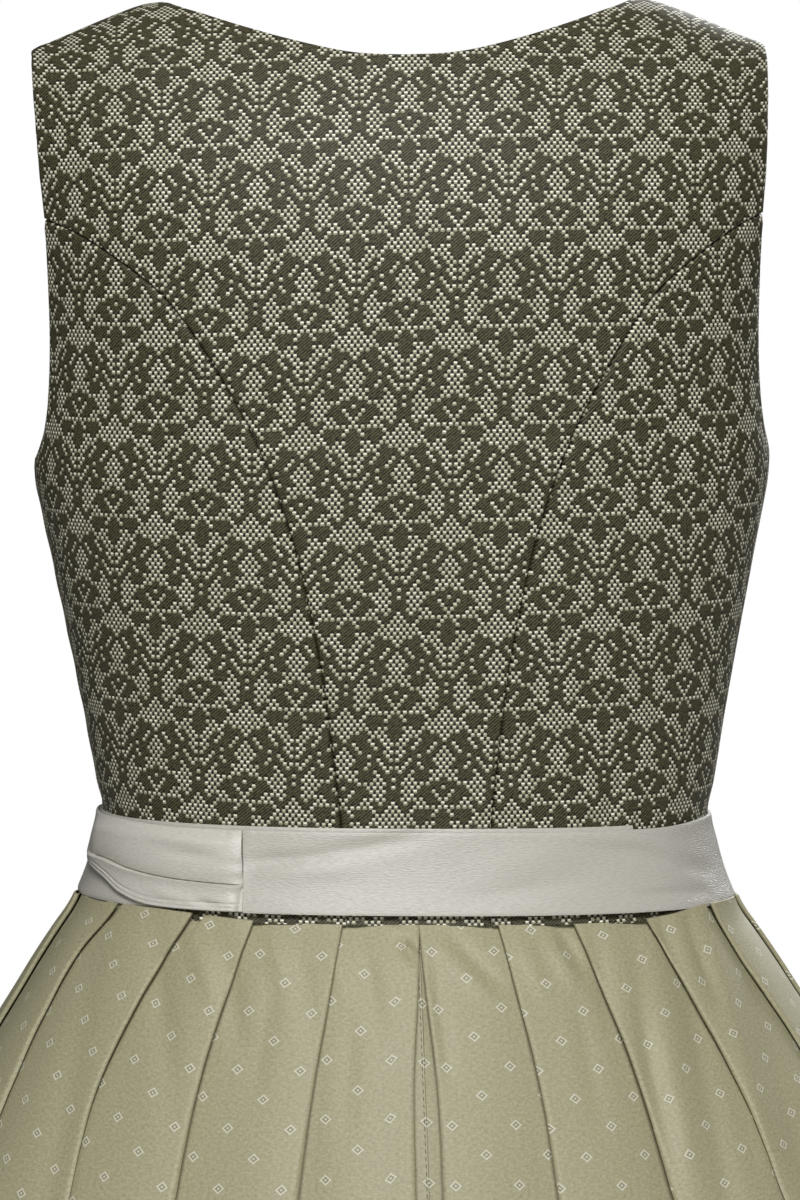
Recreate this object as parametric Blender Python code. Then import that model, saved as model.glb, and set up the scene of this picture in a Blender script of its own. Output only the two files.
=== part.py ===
"""A dirndl dress with its apron, hollow and filled out as it is when worn.

The script works in millimetres and turns them to metres when it makes a mesh. +Z is up, the front of
the dress faces -Y and the wearer's left is +X. The origin is the point between the two shoulder seams
where the wearer's shoulders carry the dress, level with the neck ends of those seams.
"""

import math
from bisect import bisect_right

import bmesh
import bpy
from mathutils import Vector

MM = 0.001

# --- driving sizes, in millimetres -------------------------------------------------------------------
SEAM_GAP = 0.3              # between pieces that are sewn edge to edge
LAID_GAP = 0.45             # between pieces that lie on one another
BODICE_WALL = 2.0           # jacquard with its interlining
SKIRT_WALL = 1.4
SATIN_WALL = 1.4            # a double layer of satin
RIBBON_WALL = 1.1           # a single hemmed layer

WAIST_SEAM = -396.0         # height of the seam between bodice and skirt
BAND_TOP, BAND_BOTTOM = -355.5, -391.6
BAND_STEP = 1.6             # how far the lapping end's top edge lies below the end under it

SHOULDER_NECK = 106.0       # half the neck width, where the shoulder seam starts
SHOULDER_SLOPE = 0.43       # fall of the shoulder seam for each millimetre outwards
SHOULDER_ROUND = 8.0        # how softly that fall begins
COLLAR_SLOPE = 0.20         # rise of the unseen ridge over the open neck
WAIST_TILT = 0.020          # rise of the waist for each millimetre towards the wearer's left
TILT_CENTRE, TILT_SPREAD = -385.0, 110.0
SHOULDER_DEPTH = 8.0        # how far behind the side seams the shoulder seams lie

ROLL_HEIGHT = -120.0        # above this the body rolls over towards the shoulder seams
ROLL_LENGTH = 170.0         # the roll's share of the height coordinate
BACK_POWER, FRONT_POWER = 2.4, 2.2

BUST_RISE, BUST_SIDE, BUST_HEIGHT = 17.0, 85.0, -238.0
BUST_WIDTH, BUST_SPREAD = 47.0, 50.0

# Sections of the body, then of the skirt. Above the roll the height is the height coordinate.
SECTION = ("height", "half_width", "back", "front")
SECTIONS = (
    (60, 172, 84, 70),
    (0, 172, 90, 76),
    (-60, 169, 98, 84),
    (-92, 165.5, 101, 88),
    (-120, 161.8, 103, 93),
    (-160, 159.4, 104, 104),
    (-185, 160.4, 103, 113),
    (-198, 161.6, 103, 117),
    (-210, 161, 102, 120),
    (-222, 158.8, 101, 121.5),
    (-235, 156.1, 100, 122),
    (-261, 151, 98, 118),
    (-288, 145.8, 95, 111),
    (-314, 141, 92, 104),
    (-341, 136.4, 90, 99),
    (-355.5, 133.4, 89.5, 98),
    (-367.5, 135.8, 91, 100.5),
    (-380, 139.2, 94, 104),
    (-391.6, 143.8, 98.5, 108.5),
    (-396, 146.2, 101, 111),
    (-407, 155.4, 110, 119),
    (-420, 164.2, 118.5, 126.5),
    (-434, 172.6, 127, 134),
    (-456, 186, 139, 146),
    (-476, 198, 151, 158),
    (-526, 226, 177, 184),
    (-606, 268, 216, 223),
    (-706, 311, 258, 264),
    (-826, 347, 296, 301),
    (-946, 370, 322, 326),
    (-1046, 384, 338, 341),
)

# Seams and cut edges, as half widths at a height.
EDGE = ("height", "x")
BACK_SEAM = (
    (-396, 30.5), (-350, 32.7), (-320, 36), (-295, 39.2), (-270, 43.4), (-238, 50.4), (-218, 56.4),
    (-200, 63), (-182, 71), (-160, 83.2), (-140, 96), (-124, 109.5), (-109, 129), (-100, 143),
    (-94, 156.2),
)
BACK_ARMHOLE = (
    (-198, 161.6), (-192, 159.3), (-185, 157.2), (-171, 155.3), (-145, 154.4), (-116, 155.1),
    (-94, 156.2), (-75, 158.2), (-50, 160), (-32, 161.2), (-20.5, 161.4),
)
BACK_NECK = (
    (-25.4, 0), (-24.9, 15), (-23.6, 27), (-21.2, 38), (-17.6, 51), (-14.2, 62),
    (-10.2, 74), (-5.8, 86), (-2, 96.5), (0, 106),
)
FRONT_SEAM = (
    (-396, 58), (-352, 58), (-300, 66), (-262, 79), (-240, 87), (-210, 99),
    (-180, 112), (-150, 126), (-125, 138),
)
FRONT_ARMHOLE = (
    (-198, 161.6), (-192, 158.4), (-185, 155), (-171, 150), (-150, 143.5), (-125, 138),
    (-100, 136.5), (-72, 140), (-45, 150), (-20.5, 161.6),
)
FRONT_NECK = (
    (-185, 0), (-184.5, 18), (-182, 38), (-175, 58), (-160, 76), (-138, 86),
    (-105, 91.5), (-65, 97), (-28, 102), (0, 106),
)

WAIST_ROWS = (-396, -391.6, -380, -367.5, -355.5)     # heights of the points that the waistband lies on
PANEL_ROWS = 9              # above them, up a bodice seam
ROWS_TO_NECK = 5            # above them, up the centre front
BACK_CORNER, FRONT_CORNER = 6, 5    # where the curved seams meet the armhole edges
NECK_TURN = 5               # where the front neckline turns up into the strap

# Fold edges of the skirt's pleats, as distances along the waist seam from the centre back.
PLEATS_TO_SIDE = 11         # on each side, all turned towards the centre back
FOLDS_LEFT = (0, 32.6, 70.8, 98, 138.5, 175)
FOLDS_RIGHT = (0, 34, 67.3, 101.5, 139.3, 175)
SIDE_FOLD = 6               # the pleat that hides the side seam

# One pleat's cross-section at distances below the waist seam: along and out from its fold edge.
PLEAT = ("below", "edge_u", "edge_v", "under_u", "under_v", "back_u", "back_v",
         "inner_u", "inner_v", "dip_u", "dip_v", "gap")
PLEAT_SHAPES = (
    (0, 0, 0, 0, -1.9, 27, -5.2, 27, -7.1, -1.6, -3.8, 1.1),
    (22, 0.2, 0.6, 0, -1.7, 27.5, -5.7, 27.5, -8.0, -1.8, -4.5, 1.3),
    (60, 0.5, 1.8, -0.2, -0.9, 28, -5.8, 28, -8.6, -3, -5.6, 2.8),
    (115, 1, 3.6, -0.7, 0.4, 26, -5.2, 26, -8.8, -5.5, -7.2, 6.5),
    (190, 2, 5.4, -2, 1.6, 20, -4.6, 18, -9.6, -11, -8.8, 13),
    (290, 3.6, 7.2, -3.6, 3, 6, -5, 0, -10.2, -22, -9.8, 23),
    (400, 5.4, 8.6, -5.4, 4.6, -9, -5.8, -18, -10.9, -34, -10.4, 32),
    (520, 7.2, 9.4, -7, 5.4, -18, -6, -31, -11, -45, -10.4, 42),
    (650, 9, 10, -9, 6, -26, -6, -40, -11, -56, -10, 50),
)
UNDERLAY_CLEAR = 3.0        # from a pleat's inner fold to the next pleat
LAYER = 1.9                 # from one pressed layer's middle to the next
FACE_SHARES = (0.34, 0.7)   # where a pleat's face has points, from its fold edge to its dip
FACE_BULGE = 1.2
SKIRT_RINGS = tuple(row[0] for row in PLEAT_SHAPES)

# The apron hangs outside the pleats, gathered into its waistband.
APRON = ("below", "half_width", "out", "wave")
APRON_SHAPES = (
    (-3.9, 150, 1.3, 0.0),
    (3, 151, 4.4, 0.5),
    (22, 158, 5.9, 1.3),
    (60, 172, 8.8, 2.3),
    (115, 190, 12.6, 3.2),
    (190, 216, 16.0, 3.9),
    (290, 248, 18.6, 4.5),
    (400, 278, 20.4, 4.9),
    (520, 306, 21.4, 5.2),
    (600, 326, 21.8, 5.4),
)
GATHERS = 14
POINTS_PER_GATHER = 4

# The waistband runs once round and laps over itself across the back. Angles run from the wearer's
# left side, up through the centre back at 90 degrees, and down through the front at -90.
BAND_INNER_END = 130.6
BAND_OUTER_END = -297.8
LAP_FROM, LAP_FULL = -196.0, -224.0
TIE_START = BAND_OUTER_END + 360.0
KNOT_ANGLE = -71.0

TIE = ("angle", "top", "bottom")
TIE_EDGES = (
    (-71, -361, -386),
    (-50, -359, -384),
    (-25, -357, -379),
    (-8, -356, -376.5),
    (8, -356, -376.5),
    (22, -356, -381),
    (32, -356.6, -387),
    (42, -357.1, -390.4),
    (64, -357.3, -391.2),
)

KNOT_WIDTH, KNOT_HEIGHT, KNOT_THICK, KNOT_PINCH = 25.0, 37.0, 13.0, 0.04
LOOP = ("along", "out", "half_height", "drop")
LOOP_PATH = (
    (0, 9.5, 13, 0), (13, 13.5, 16, 0), (30, 17.5, 20, 1), (48, 19.5, 22.5, 2), (64, 18.5, 23.5, 3),
    (74, 15, 23.5, 3.5), (76, 11.5, 23, 3.5), (69, 8.2, 22.5, 3), (51, 6.7, 21, 2), (32, 6.2, 18, 1),
    (13, 5.6, 14.5, 0), (0, 5.6, 12, 0),
)
LOOP_ROWS = 4
LOOP_FLARE = 0.3            # how far a loop stands out for each millimetre below the waistband
TAIL = ("below", "half_width", "out", "spread")
TAIL_SHAPES = (
    (1.2, 7, 3.2, 8),
    (9, 9, 6.6, 10),
    (28, 14, 9.8, 15),
    (66, 20, 14.2, 22),
    (121, 25, 18.4, 29),
    (196, 29, 22.2, 36),
    (296, 32, 25.4, 43),
    (346, 34, 26.4, 47),
)
TAIL_SLANT = 34.0           # how much longer a tail is on its outer edge
TAIL_COLUMNS = 7
TAIL_FOLD = 2.0

BUTTON_RADIUS, BUTTON_HEIGHT = 6.5, 4.2
BUTTON_HEIGHTS = (-197, -222, -247, -272, -297, -322, -345)
BUTTON_STAND = 0.85         # the thread shank's length
BUTTON_PROFILE = ((0.55, 0.88), (0.95, 0.42), (0.9, 0.0))       # radius and rise, as shares
BUTTON_SIDES = 14

MATERIALS = {
    "jacquard": ((0.105, 0.098, 0.070), 0.85, 0.0),
    "skirt_cotton": ((0.40, 0.38, 0.26), 0.75, 0.0),
    "satin": ((0.52, 0.51, 0.46), 0.42, 0.0),
    "pewter": ((0.38, 0.37, 0.33), 0.38, 0.9),
}


# --- tables ------------------------------------------------------------------------------------------
def smooth(columns, rows, wanted, at):
    """The wanted column at a value of the first one, on a cubic through the rows."""
    rows = sorted(rows)
    keys = [row[0] for row in rows]
    column = columns.index(wanted)
    last = len(rows) - 1
    at = min(max(at, keys[0]), keys[-1])
    low = min(max(bisect_right(keys, at) - 1, 0), last - 1)

    def slope(i):
        a, b = max(i - 1, 0), min(i + 1, last)
        return (rows[b][column] - rows[a][column]) / (keys[b] - keys[a])

    span = keys[low + 1] - keys[low]
    s = (at - keys[low]) / span
    start, end = rows[low][column], rows[low + 1][column]
    bend_in, bend_out = slope(low) * span, slope(low + 1) * span
    return (
        start * (1 + 2 * s) * (1 - s) ** 2
        + bend_in * s * (1 - s) ** 2
        + end * s * s * (3 - 2 * s)
        + bend_out * s * s * (s - 1)
    )


def blend(a, b, share):
    return a + (b - a) * share


def power(value, exponent):
    return math.copysign(abs(value) ** exponent, value)


# --- the body form -----------------------------------------------------------------------------------
def ridge(x):
    """Height of the shoulder line at a distance from the middle."""
    beyond = abs(x) - SHOULDER_NECK
    if beyond < 0:
        return -beyond * COLLAR_SLOPE
    return -SHOULDER_SLOPE * (math.hypot(beyond, SHOULDER_ROUND) - SHOULDER_ROUND)


def bust(x, height):
    across = math.exp(-(((abs(x) - BUST_SIDE) / BUST_WIDTH) ** 2))
    return BUST_RISE * across * math.exp(-(((height - BUST_HEIGHT) / BUST_SPREAD) ** 2))


def body(angle, height):
    """A point on the outside of the dress, at an angle in radians and a height coordinate."""
    back = math.sin(angle) >= 0
    exponent = 2 / (BACK_POWER if back else FRONT_POWER)
    x = smooth(SECTION, SECTIONS, "half_width", height) * power(math.cos(angle), exponent)
    depth = smooth(SECTION, SECTIONS, "back" if back else "front", height)
    y = depth * power(math.sin(angle), exponent)
    if not back:
        y -= bust(x, height) * abs(math.sin(angle))
    if height <= ROLL_HEIGHT:
        return Vector((x, y, height))
    turn = (height - ROLL_HEIGHT) / ROLL_LENGTH * math.pi / 2
    rise = ridge(x) - ROLL_HEIGHT
    return Vector((
        x,
        SHOULDER_DEPTH + (y - SHOULDER_DEPTH) * math.cos(turn),
        ROLL_HEIGHT + rise * math.sin(turn),
    ))


def outward(angle, height):
    """The way a wall's thickness is measured: level below the roll, square to the surface above it."""
    across = body(angle + 0.004, height) - body(angle - 0.004, height)
    if height <= ROLL_HEIGHT:
        return Vector((across.y, -across.x, 0)).normalized()
    up = body(angle, height + 0.5) - body(angle, height - 0.5)
    return across.cross(up).normalized()


def coordinate(x, z):
    """The height coordinate of a point at a real height."""
    if z <= ROLL_HEIGHT:
        return z
    share = min((z - ROLL_HEIGHT) / (ridge(x) - ROLL_HEIGHT), 1.0)
    return ROLL_HEIGHT + ROLL_LENGTH * math.asin(share) / (math.pi / 2)


def angle_at(x, height, back):
    """The angle on the back or the front half whose point lies at x."""
    share = abs(x) / smooth(SECTION, SECTIONS, "half_width", height)
    angle = math.acos(min(share, 1.0) ** ((BACK_POWER if back else FRONT_POWER) / 2))
    angle = angle if back else -angle
    return angle if x >= 0 else math.pi - angle


def edge_points(rows):
    """A cut edge's rows as (x, height coordinate)."""
    return [(x, coordinate(x, z)) for z, x in rows]


def along(points, share):
    """A point at a share of an open line's length, on a smooth curve through its points."""
    lengths = [0.0]
    for a, b in zip(points, points[1:]):
        lengths.append(lengths[-1] + math.dist(a, b))
    columns = ("length", "x", "height")
    rows = [(length, *point) for length, point in zip(lengths, points)]
    at = share * lengths[-1]
    return smooth(columns, rows, "x", at), smooth(columns, rows, "height", at)


# --- meshes ------------------------------------------------------------------------------------------
def material(name):
    found = bpy.data.materials.get(name)
    if found:
        return found
    made = bpy.data.materials.new(name)
    made.use_nodes = True
    colour, roughness, metallic = MATERIALS[name]
    shader = made.node_tree.nodes["Principled BSDF"]
    shader.inputs["Base Color"].default_value = (*colour, 1.0)
    shader.inputs["Roughness"].default_value = roughness
    shader.inputs["Metallic"].default_value = metallic
    return made


def settled(point):
    """A point moved as the dress hangs: the waist rides up a little on the wearer's left."""
    near = math.exp(-(((point.z - TILT_CENTRE) / TILT_SPREAD) ** 2))
    return point + Vector((0, 0, WAIST_TILT * point.x * near))


def add_object(name, points, faces, finish):
    mesh = bpy.data.meshes.new(name)
    mesh.from_pydata([settled(Vector(p)) * MM for p in points], [], faces)
    edit = bmesh.new()
    edit.from_mesh(mesh)
    bmesh.ops.recalc_face_normals(edit, faces=edit.faces)
    edit.to_mesh(mesh)
    edit.free()
    mesh.materials.append(material(finish))
    mesh.shade_smooth()
    mesh.set_sharp_from_angle(angle=math.radians(40))
    made = bpy.data.objects.new(name, mesh)
    bpy.context.scene.collection.objects.link(made)
    return made


def shell(name, outer, inner, finish):
    """A closed wall between two grids of points that have the same rows and columns."""
    rows, columns = len(outer), len(outer[0])
    points = [p for grid in (outer, inner) for row in grid for p in row]
    under = rows * columns

    def at(i, j, side=0):
        return side * under + i * columns + j

    faces = []
    for i in range(rows - 1):
        for j in range(columns - 1):
            a, b, c, d = at(i, j), at(i, j + 1), at(i + 1, j + 1), at(i + 1, j)
            faces += [(a, b, c), (a, c, d)]
            faces += [(c + under, b + under, a + under), (d + under, c + under, a + under)]
    rim = [(i, 0) for i in range(rows)]
    rim += [(rows - 1, j) for j in range(1, columns)]
    rim += [(i, columns - 1) for i in range(rows - 2, -1, -1)]
    rim += [(0, j) for j in range(columns - 2, 0, -1)]
    for (i, j), (k, m) in zip(rim, rim[1:] + rim[:1]):
        faces += [(at(i, j), at(k, m), at(k, m, 1)), (at(i, j), at(k, m, 1), at(i, j, 1))]
    return add_object(name, points, faces, finish)


def mirrored(grid):
    return [[Vector((-p.x, p.y, p.z)) for p in row] for row in grid]


# --- bodice ------------------------------------------------------------------------------------------
def bodice_walls(places):
    """The outer and inner points of a panel, from a grid of (angle, height coordinate)."""
    outer = [[body(a, h) for a, h in row] for row in places]
    inner = [[body(a, h) - outward(a, h) * BODICE_WALL for a, h in row] for row in places]
    return outer, inner


def steps(start, end, count):
    return [blend(start, end, i / count) for i in range(count + 1)]


def rises(seam):
    """A panel's rows above the waist as shares of the way up, evenly spaced along its curved seam."""
    above = [point for point in seam if point[1] > WAIST_ROWS[-1]]
    start = (smooth(("height", "x"), by_height(seam), "x", WAIST_ROWS[-1]), WAIST_ROWS[-1])
    heights = [along([start] + above, share)[1] for share in steps(0, 1, PANEL_ROWS)]
    return [(height - heights[0]) / (heights[-1] - heights[0]) for height in heights]


def rows_up_to(end, shares):
    """Row heights from the waist seam to an end: close together at the waist, then by the shares."""
    return list(WAIST_ROWS[:-1]) + [blend(WAIST_ROWS[-1], end, share) for share in shares]


def by_height(rows):
    """Turns a cut edge's points round, for reading its x at a height coordinate."""
    return [(height, x) for x, height in rows]


def seam_x(rows, height, side):
    """A curved seam's x at a height coordinate, half a seam gap to one side of it."""
    x = smooth(("height", "x"), rows, "x", height)
    lean = (smooth(("height", "x"), rows, "x", height + 0.5)
            - smooth(("height", "x"), rows, "x", height - 0.5))
    return x + side * SEAM_GAP / 2 * math.hypot(1, lean)


def back_centre():
    """The middle back, cut in one piece from waist to shoulders between the two curved seams."""
    side = by_height(edge_points(BACK_SEAM))
    armhole = by_height(edge_points(BACK_ARMHOLE[BACK_CORNER:]))
    neck = edge_points(BACK_NECK)
    corner, shoulder = side[-1][0], armhole[-1][0]

    def half_width(height):
        if height <= corner:
            return seam_x(side, height, -1)
        return smooth(("height", "x"), armhole, "x", height) - SEAM_GAP / 2

    def top(share):
        x = share * half_width(shoulder)
        return smooth(("x", "height"), neck, "height", x) if x < neck[-1][0] else shoulder

    neck_share = neck[-1][0] / half_width(shoulder)
    shares = steps(0, neck_share, 5) + steps(neck_share, 1, 2)[1:]
    shares = [-share for share in reversed(shares[1:])] + shares
    places = []
    for height in rows_up_to(corner, rises(edge_points(BACK_SEAM))):
        places.append([(angle_at(share * half_width(height), height, True), height)
                       for share in shares])
    for rise in steps(0, 1, 5)[1:]:
        row = []
        for share in shares:
            height = blend(corner, top(abs(share)), rise)
            row.append((angle_at(share * half_width(height), height, True), height))
        places.append(row)
    return shell("bodice_back_centre", *bodice_walls(places), "jacquard")


def side_panel(name, seam, armhole, back, columns):
    """The left and right panels between a curved seam and the side seam."""
    seam_rows = by_height(edge_points(seam))
    arm_rows = by_height(edge_points(armhole))
    underarm, corner = arm_rows[0][0], seam_rows[-1][0]
    side = "back" if back else "front"
    exponent = BACK_POWER if back else FRONT_POWER

    def seam_angle(height):
        return angle_at(seam_x(seam_rows, height, 1), height, back)

    def side_angle(height):
        turn = (SEAM_GAP / 2 / smooth(SECTION, SECTIONS, side, height)) ** (exponent / 2)
        return math.asin(turn) if back else -math.asin(turn)

    def arm_share(height):
        x = smooth(("height", "x"), arm_rows, "x", height)
        start, end = seam_angle(height), side_angle(height)
        return (start - angle_at(x, height, back)) / (start - end)

    def top(share):
        low, high = underarm, corner
        for _ in range(40):
            middle = (low + high) / 2
            if arm_share(middle) > share:
                low = middle
            else:
                high = middle
        return low

    lines = []
    for share in steps(0, 1, columns):
        end = corner if share == 0 else underarm if share == 1 else top(share)
        lines.append([(blend(seam_angle(height), side_angle(height), share), height)
                      for height in rows_up_to(end, rises(edge_points(seam)))])
    outer, inner = bodice_walls(list(zip(*lines)))
    shell(name.format("left"), outer, inner, "jacquard")
    shell(name.format("right"), mirrored(outer), mirrored(inner), "jacquard")


def centre_front_heights():
    """Heights of the fronts' rows down the centre front, from the waist seam to the neckline."""
    return rows_up_to(edge_points(FRONT_NECK)[0][1], steps(0, 1, ROWS_TO_NECK))


def front_panels():
    """The two fronts with their straps, meeting edge to edge down the centre front."""
    seam = by_height(edge_points(FRONT_SEAM))
    armhole = edge_points(FRONT_ARMHOLE[FRONT_CORNER:])
    neck = edge_points(FRONT_NECK)
    low_neck, high_neck = neck[: NECK_TURN + 1], neck[NECK_TURN:]
    seam_heights = rows_up_to(seam[-1][0], rises(edge_points(FRONT_SEAM)))
    at_neck = len(WAIST_ROWS) - 1 + ROWS_TO_NECK
    middle_heights = centre_front_heights()
    ends = []
    for i, height in enumerate(seam_heights):
        right = (seam_x(seam, height, -1), height)
        if i <= at_neck:
            left = (0, middle_heights[i])
        else:
            left = along(low_neck, (i - at_neck) / (len(seam_heights) - 1 - at_neck))
        ends.append((left, right))
    armhole = [(x - SEAM_GAP / 2, height) for x, height in armhole]
    ends += [(along(high_neck, share), along(armhole, share)) for share in steps(0, 1, 7)[1:]]
    places = []
    for left, right in ends:
        row = []
        for share in steps(0, 1, 6):
            x = blend(left[0] + SEAM_GAP / 2, right[0], share)
            height = blend(left[1], right[1], share)
            row.append((angle_at(x, height, False), height))
        places.append(row)
    outer, inner = bodice_walls(places)
    for grid in (outer, inner):
        for point in grid[-1]:
            point.y -= SEAM_GAP
    shell("bodice_front_left", outer, inner, "jacquard")
    shell("bodice_front_right", mirrored(outer), mirrored(inner), "jacquard")


# --- rings round the dress ---------------------------------------------------------------------------
RING_STEPS = 360
RINGS = {}


def ring(height):
    """The wearer's-left half of the outline at a height: distances from the centre back, and points."""
    if height not in RINGS:
        points = [body(math.pi / 2 - math.pi * i / RING_STEPS, height) for i in range(RING_STEPS + 1)]
        lengths = [0.0]
        for a, b in zip(points, points[1:]):
            lengths.append(lengths[-1] + (b - a).length)
        RINGS[height] = lengths, points
    return RINGS[height]


def half_girth(height):
    return ring(height)[0][-1]


def on_ring(height, distance, out):
    """A point out from the outline, at a distance round it from the centre back, left positive."""
    lengths, points = ring(height)
    far = min(abs(distance), lengths[-1])
    i = min(bisect_right(lengths, far) - 1, RING_STEPS - 1)
    share = (far - lengths[i]) / (lengths[i + 1] - lengths[i])
    near = (points[min(i + 2, RING_STEPS)] - points[max(i - 1, 0)]).normalized()
    place = points[i].lerp(points[i + 1], share) + Vector((-near.y, near.x, 0)) * out
    if abs(distance) > lengths[-1]:
        place.x = -place.x - (abs(distance) - lengths[-1])
    return Vector((math.copysign(1, distance) * place.x, place.y, height))


def thick(path, wall):
    """The two sides of a wall about a level path, mitred at its corners."""
    outer, inner = [], []
    for i, p in enumerate(path):
        before = p - path[i - 1] if i else path[1] - p
        after = path[i + 1] - p if i + 1 < len(path) else before
        a = Vector((before.y, -before.x, 0)).normalized()
        b = Vector((after.y, -after.x, 0)).normalized()
        middle = (a + b).normalized()
        reach = wall / 2 / max(middle.dot(a), 0.62)
        outer.append(p + middle * reach)
        inner.append(p - middle * reach)
    return outer, inner


# --- skirt -------------------------------------------------------------------------------------------
def fold_shares(measured):
    """Fold edges as shares of the way round from centre back to centre front."""
    girth = half_girth(WAIST_SEAM)
    folds = list(measured)
    left = PLEATS_TO_SIDE - len(folds)
    pitch = (girth - folds[-1]) / (left + 1)
    folds += [folds[-1] + pitch * (i + 1) for i in range(left)]
    return [fold / girth for fold in folds]


def pleat(below, name):
    return smooth(PLEAT, PLEAT_SHAPES, name, below)


def pleated_path(below, measured):
    """Half of the skirt's cross-section, as (along, out), and where its side seam lies in it."""
    girth = half_girth(WAIST_SEAM - below)
    gap = pleat(below, "gap")
    folds = [gap + (girth - gap) * share for share in fold_shares(measured)]
    path = [(SEAM_GAP / 2, pleat(below, "inner_v"))]
    for k, fold in enumerate(folds):
        after = folds[k + 1] if k + 1 < len(folds) else girth
        edge = fold + pleat(below, "edge_u"), pleat(below, "edge_v")
        under = fold + pleat(below, "under_u"), pleat(below, "under_v")
        if k + 1 < len(folds):
            end = after + pleat(below, "dip_u"), pleat(below, "dip_v")
        else:
            end = girth, blend(edge[1], pleat(below, "dip_v"), 0.5)
        deepest = after + pleat(below, "dip_u") - UNDERLAY_CLEAR
        back_u = min(fold + pleat(below, "back_u"), deepest)
        beside = under[1] + (back_u - under[0]) * (end[1] - edge[1]) / (end[0] - edge[0])
        back = back_u, min(pleat(below, "back_v"), beside)
        inner = min(fold + pleat(below, "inner_u"), deepest), min(
            pleat(below, "inner_v"), back[1] - LAYER
        )
        if k == SIDE_FOLD:
            seam = len(path)
        path += [midway(path[-1], inner), inner, back, midway(back, under), under, edge]
        for share in FACE_SHARES:
            out = blend(edge[1], end[1], share) + FACE_BULGE * math.sin(math.pi * share)
            path.append((blend(edge[0], end[0], share), out))
        path.append(end)
    return path, seam


def midway(a, b):
    return (a[0] + b[0]) / 2, (a[1] + b[1]) / 2


def skirt_ring(below, measured, side):
    """One half's points in space and the index of its side seam."""
    height = WAIST_SEAM - max(below, SEAM_GAP)
    path, seam = pleated_path(below, measured)
    return [on_ring(height, side * u, v) for u, v in path], seam


def skirt():
    rows = {"skirt_back_left": [], "skirt_back_right": [], "skirt_front": []}
    for below in SKIRT_RINGS:
        halves = {}
        for name, measured, side in (("left", FOLDS_LEFT, 1), ("right", FOLDS_RIGHT, -1)):
            points, seam = skirt_ring(below, measured, side)
            back, front = points[:seam], points[seam:]
            towards = (front[0] - back[-1])
            middle = back[-1] + towards * 0.5
            step = towards.normalized() * SEAM_GAP / 2
            rows["skirt_back_" + name].append(back + [middle - step])
            halves[name] = [middle + step] + front
        rows["skirt_front"].append(halves["left"] + halves["right"][-2::-1])
    for name, paths in rows.items():
        walls = [thick(path, SKIRT_WALL) for path in paths]
        shell(name, [w[0] for w in walls], [w[1] for w in walls], "skirt_cotton")


# --- apron and its ties ------------------------------------------------------------------------------
def apron_point(below, across, out=0.0):
    """A point on the apron. Across is the distance from the centre front over the half width."""
    height = WAIST_SEAM - below
    half = smooth(APRON, APRON_SHAPES, "half_width", below)
    rise = smooth(APRON, APRON_SHAPES, "out", below)
    rise += smooth(APRON, APRON_SHAPES, "wave", below) * math.cos(math.pi * GATHERS * across)
    return on_front(height, across * half, rise + out)


def on_front(height, distance, out):
    """As on_ring, but measured from the centre front, left positive."""
    girth = half_girth(height)
    side = 1 if distance >= 0 else -1
    return on_ring(height, side * (girth - abs(distance)), out)


def apron():
    count = GATHERS * POINTS_PER_GATHER
    shares = [2 * j / count - 1 for j in range(count + 1)]
    levels = [row[0] for row in APRON_SHAPES]
    paths = [[apron_point(below, share) for share in shares] for below in levels]
    walls = [thick(path, SATIN_WALL) for path in paths]
    shell("apron", [w[0] for w in walls], [w[1] for w in walls], "satin")


def lapped(angle):
    """How far the waistband has climbed onto its own first turn, from 0 to 1."""
    share = min(max((LAP_FROM - angle) / (LAP_FROM - LAP_FULL), 0), 1)
    return share * share * (3 - 2 * share)


def strip(name, angles, top, bottom, lift, wall, rows, finish):
    """A strip of cloth laid round the waist. Top, bottom and lift are functions of the angle."""
    outer, inner = [], []
    for i in range(rows + 1):
        row_out, row_in = [], []
        for angle in angles:
            height = blend(bottom(angle), top(angle), i / rows)
            place = body(math.radians(angle), height)
            normal = outward(math.radians(angle), height)
            row_in.append(place + normal * lift(angle))
            row_out.append(place + normal * (lift(angle) + wall))
        outer.append(row_out)
        inner.append(row_in)
    return shell(name, outer, inner, finish)


def waistband():
    angles = steps(BAND_INNER_END, BAND_OUTER_END, 84)
    strip("apron_waistband", angles,
          lambda angle: BAND_TOP - BAND_STEP * lapped(angle),
          lambda angle: BAND_BOTTOM,
          lambda angle: LAID_GAP + (SATIN_WALL + LAID_GAP) * lapped(angle),
          SATIN_WALL, 3, "satin")


def tie():
    """The wearer's left tie, from the lapping end of the waistband round to the knot."""
    lift = 2 * LAID_GAP + SATIN_WALL
    angles = steps(TIE_START - 0.25, KNOT_ANGLE + 5, 24)
    strip("apron_tie", angles,
          lambda angle: smooth(TIE, TIE_EDGES, "top", angle),
          lambda angle: smooth(TIE, TIE_EDGES, "bottom", angle),
          lambda angle: lift, RIBBON_WALL, 3, "satin")


KNOT_LEVEL = (BAND_TOP + BAND_BOTTOM) / 2


def knot_distance():
    """How far the knot lies from the centre front, round the waist."""
    lengths, points = ring(KNOT_LEVEL)
    spot = body(math.radians(KNOT_ANGLE), KNOT_LEVEL)
    nearest = min(range(len(points)), key=lambda i: (points[i] - spot).length)
    return lengths[-1] - lengths[nearest]


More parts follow.
